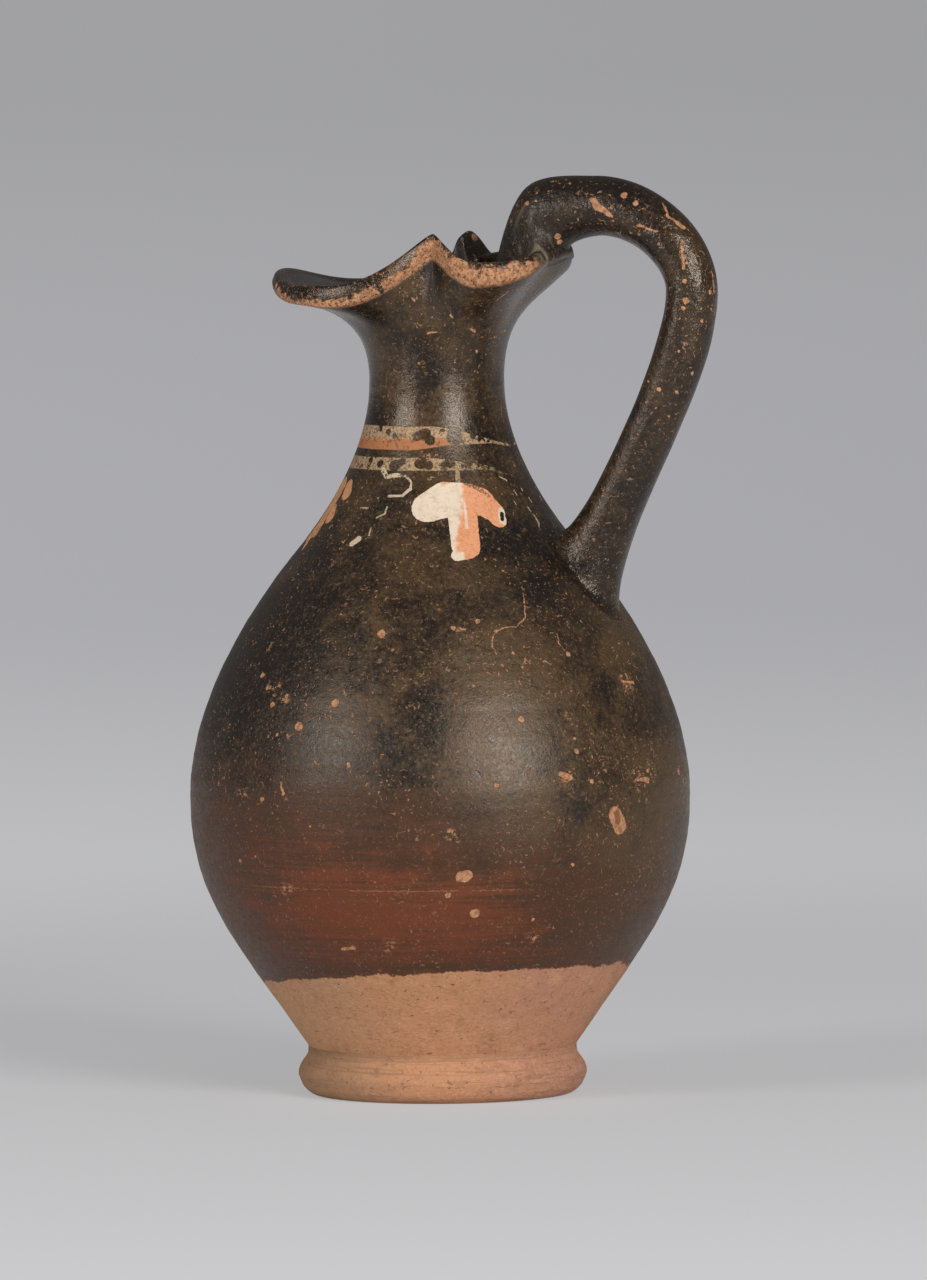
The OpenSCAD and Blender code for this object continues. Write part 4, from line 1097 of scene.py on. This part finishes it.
def bare_clay(b, p):
    """The foot's clay, with wheel lines, smears of slip, painted shade on one side, and darker in the groove."""
    clay, wheel = b.use(CLAY_BODY, Position=p), b.use(WHEEL_LINES, Position=p, Fineness=1.4)
    colour = b.blend(b.wire(clay, "Colour"), CLAY_STREAK, b.step(b.wire(wheel, "Streaks"), 0.62, 0.95) * 0.5)
    smear = b.step(b.noise(b.stretch(p, 1, 1, 2.2), 0.2, 3), 0.64, 0.72)
    colour = b.blend(colour, CLAY_SMEAR, smear * 0.4)
    x, _, z = b.split(p)
    # Painted shade darkens the clay on the side away from the key lamp; the groove under the belly is darker too.
    side_shade_and_groove_dark = b.step(x + (b.noise(p, 0.09, 4) - 0.5) * 30, 16.0, -34.0) * 0.55
    side_shade_and_groove_dark = side_shade_and_groove_dark + b.step(z, 8.6, 10.8) * b.noise(p, 0.25, 3) * 0.7
    rough = 0.84 + (b.noise(p, 1.4, 2) - 0.5) * 0.12
    return b.blend(colour, CLAY_PAINTED_SHADE, side_shade_and_groove_dark), rough, b.wire(clay, "Height") + b.wire(wheel, "Height") * 0.8


def inner_clay(b, p):
    """The unseen inside: bare clay with deeper throwing ridges, dusty and a little darker."""
    colour, rough, height = bare_clay(b, p)
    colour = b.blend(colour, INNER_DUST, 0.35 + b.step(b.noise(p, 0.08, 3), 0.4, 0.65) * 0.4)
    return colour, rough, height + b.noise(b.stretch(p, 0.02, 0.02, 1), 0.4, 2) * 0.5


def fill_clay(b, p):
    """The slip that sticks the foot to the belly, seen only as a dark line."""
    clay = b.use(CLAY_BODY, Position=p)
    colour = b.blend(b.wire(clay, "Colour"), JOINT_DARK, 0.3 + b.noise(p, 0.6, 3) * 0.3)
    return colour, 0.88 + b.noise(p, 1.1, 2) * 0.08, b.wire(clay, "Height")


def fired(material, recipe):
    """Lays the recipe's colour, roughness and height (in mm) on a material."""
    b = cleared(material)
    place = b.vector("SCALE", b.wire(b.node("TexCoord"), "Object"), scale=1 / MM)
    colour, rough, height = recipe(b, place)
    bump = b.node("Bump", {"Distance": MM, "Height": height})
    shader = b.node("BsdfPrincipled", {"Base Color": colour, "Roughness": rough, "Normal": b.wire(bump)})
    if "slip" in material.name:
        shader.inputs["Specular Tint"].default_value = (1.0, 0.86, 0.74, 1.0)
    b.node("OutputMaterial", {"Surface": b.wire(shader)})


def cleared(owner):
    """The empty bench of a material or world."""
    owner.use_nodes = True
    owner.node_tree.nodes.clear()
    return Bench(owner.node_tree)


# The first five in the order of the wall's zones
RECIPES = {
    "black_slip_back": back_of_belly, "black_slip_front": front_of_belly, "black_slip_garland": garlanded,
    "inner_clay": inner_clay, "black_slip_mouth": mouth_slip, "black_slip_handle": handle_slip,
    "bare_clay_foot": bare_clay, "joint_clay_fill": fill_clay,
}
finish = {name: bpy.data.materials.new(name) for name in RECIPES}
make_foot([finish["bare_clay_foot"]])
neck = make_wall(list(finish.values())[:5])
handle = make_handle([finish["black_slip_handle"]])
for name, recipe in RECIPES.items():
    fired(finish[name], recipe)
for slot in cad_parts["foot_slip"].material_slots:
    slot.material = finish["joint_clay_fill"]


# ------------------------------------------------ floor, light and camera, in metres
VIEW, RISE, ROLL = math.radians(20), math.radians(3.6), math.radians(0.5)
LENS, SHIFT, AIM_Z, AWAY = 425, (0.01914, -0.0031), 0.103, 3.4
FLOOR_RINGS, FLOOR_SIDES = (0.2, 0.5, 1.2, 4, 12, 40), 96
AIR_STRENGTH, LIT_SHARE, LIT_Z = 0.17, 0.61, 0.1


def away_from_jug(turn, rise):
    return Vector((math.sin(turn) * math.cos(rise), -math.cos(turn) * math.cos(rise), math.sin(rise)))


back, right = away_from_jug(VIEW, RISE), Vector((math.cos(VIEW), math.sin(VIEW), 0))


def linked(name, data):
    made = bpy.data.objects.new(name, data)
    bpy.context.collection.objects.link(made)
    return made


def lay_floor():
    """A pale table under a soft lamp, greyer far behind and a little darker towards one side."""
    corners = [turn * 2 * math.pi / FLOOR_SIDES for turn in range(FLOOR_SIDES)]
    points = [(0, 0, 0)] + [(r * math.cos(a), r * math.sin(a), 0) for r in FLOOR_RINGS for a in corners]
    faces = [(0, 1 + k, 1 + (k + 1) % FLOOR_SIDES) for k in range(FLOOR_SIDES)]
    faces += (grid_faces(len(FLOOR_RINGS), FLOOR_SIDES)[:, ::-1] + 1).tolist()
    mesh = bpy.data.meshes.new("studio_floor")
    mesh.from_pydata(points, [], faces)
    linked("studio_floor", mesh)
    material = bpy.data.materials.new("studio_floor")
    mesh.materials.append(material)
    b = cleared(material)
    p = b.wire(b.node("TexCoord"), "Object")
    deep = b.vector("DOT_PRODUCT", p, (-back.x, -back.y, 0.0))
    tone = b.blend(FLOOR_NEAR, FLOOR_MIDDLE, b.step(deep, -0.7, 0.1))
    tone = b.blend(tone, FLOOR_FAR, b.step(deep, 0.1, 1.9))
    tone = b.blend(tone, FAR_GREY, b.step(deep, 1.0, 9.0))
    across = b.step(b.vector("DOT_PRODUCT", p, tuple(right)), -0.4, 0.4, 0.0, 0.12)
    tone = b.blend(tone, FLOOR_SHADE, across * b.step(deep, 8.0, 0.0, 0.35, 1.0))
    tone = b.blend(tone, FLOOR_CLOUD, b.noise(p, 260, 3) * 0.06)
    cloth = b.node("BsdfDiffuse", {"Color": srgb(*FLOOR_CLOTH)})
    glow = b.node("Emission", {"Color": tone, "Strength": 1.0})
    path = b.node("LightPath")
    seen = b.larger(*[b.wire(path, key) for key in ("Is Camera Ray", "Is Glossy Ray", "Is Transmission Ray")])
    share = b.step(b.vector("LENGTH", p), 0.3, 0.75, LIT_SHARE, 1.0) * seen
    both = b.node("MixShader", {0: share, 1: b.wire(cloth), 2: b.wire(glow)})
    b.node("OutputMaterial", {"Surface": b.wire(both)})


def softbox(name, turn_by, rise, away, side, watts):
    """A square soft lamp, placed by its angles from the camera's own direction, that faces the jug."""
    way = away_from_jug(VIEW + math.radians(turn_by), math.radians(rise))
    light = bpy.data.lights.new(name, "AREA")
    light.shape, light.size, light.size_y, light.energy = "RECTANGLE", side, side, watts
    facing = way.to_track_quat("Z", "Y").to_matrix().to_4x4()
    linked(name, light).matrix_world = Matrix.Translation(Vector((0, 0, LIT_Z)) + way * away) @ facing


def set_light():
    softbox("key_softbox", turn_by=29, rise=20, away=1.9, side=0.8, watts=28)
    softbox("fill_softbox", turn_by=-54, rise=19, away=2.2, side=0.7, watts=20)
    world = bpy.data.worlds.new("studio_air")
    bpy.context.scene.world = world
    b = cleared(world)
    air = b.node("Background", {"Color": srgb(*AIR), "Strength": AIR_STRENGTH})
    wall = b.node("Background", {"Color": srgb(*FAR_GREY), "Strength": 1.0})
    path = b.node("LightPath")
    both = b.node("MixShader", {0: b.wire(path, "Is Camera Ray"), 1: b.wire(air), 2: b.wire(wall)})
    b.node("OutputWorld", {"Surface": b.wire(both)})


def set_camera():
    """A long lens from just above the jug's middle, rolled by the half degree that the jug leans in the photo."""
    up = back.cross(right)
    across = math.cos(ROLL) * right - math.sin(ROLL) * up
    upward = math.sin(ROLL) * right + math.cos(ROLL) * up
    data = bpy.data.cameras.new("camera")
    data.lens, data.sensor_width, data.clip_start, data.clip_end = LENS, 36, 0.1, 100
    data.shift_x, data.shift_y = SHIFT
    camera = linked("camera", data)
    turned_to = Matrix((across, upward, back)).transposed().to_4x4()
    camera.matrix_world = Matrix.Translation(Vector((0, 0, AIM_Z)) + back * AWAY) @ turned_to
    bpy.context.scene.camera = camera


lay_floor()
set_light()
set_camera()
bpy.context.scene.view_settings.view_transform = "Standard"
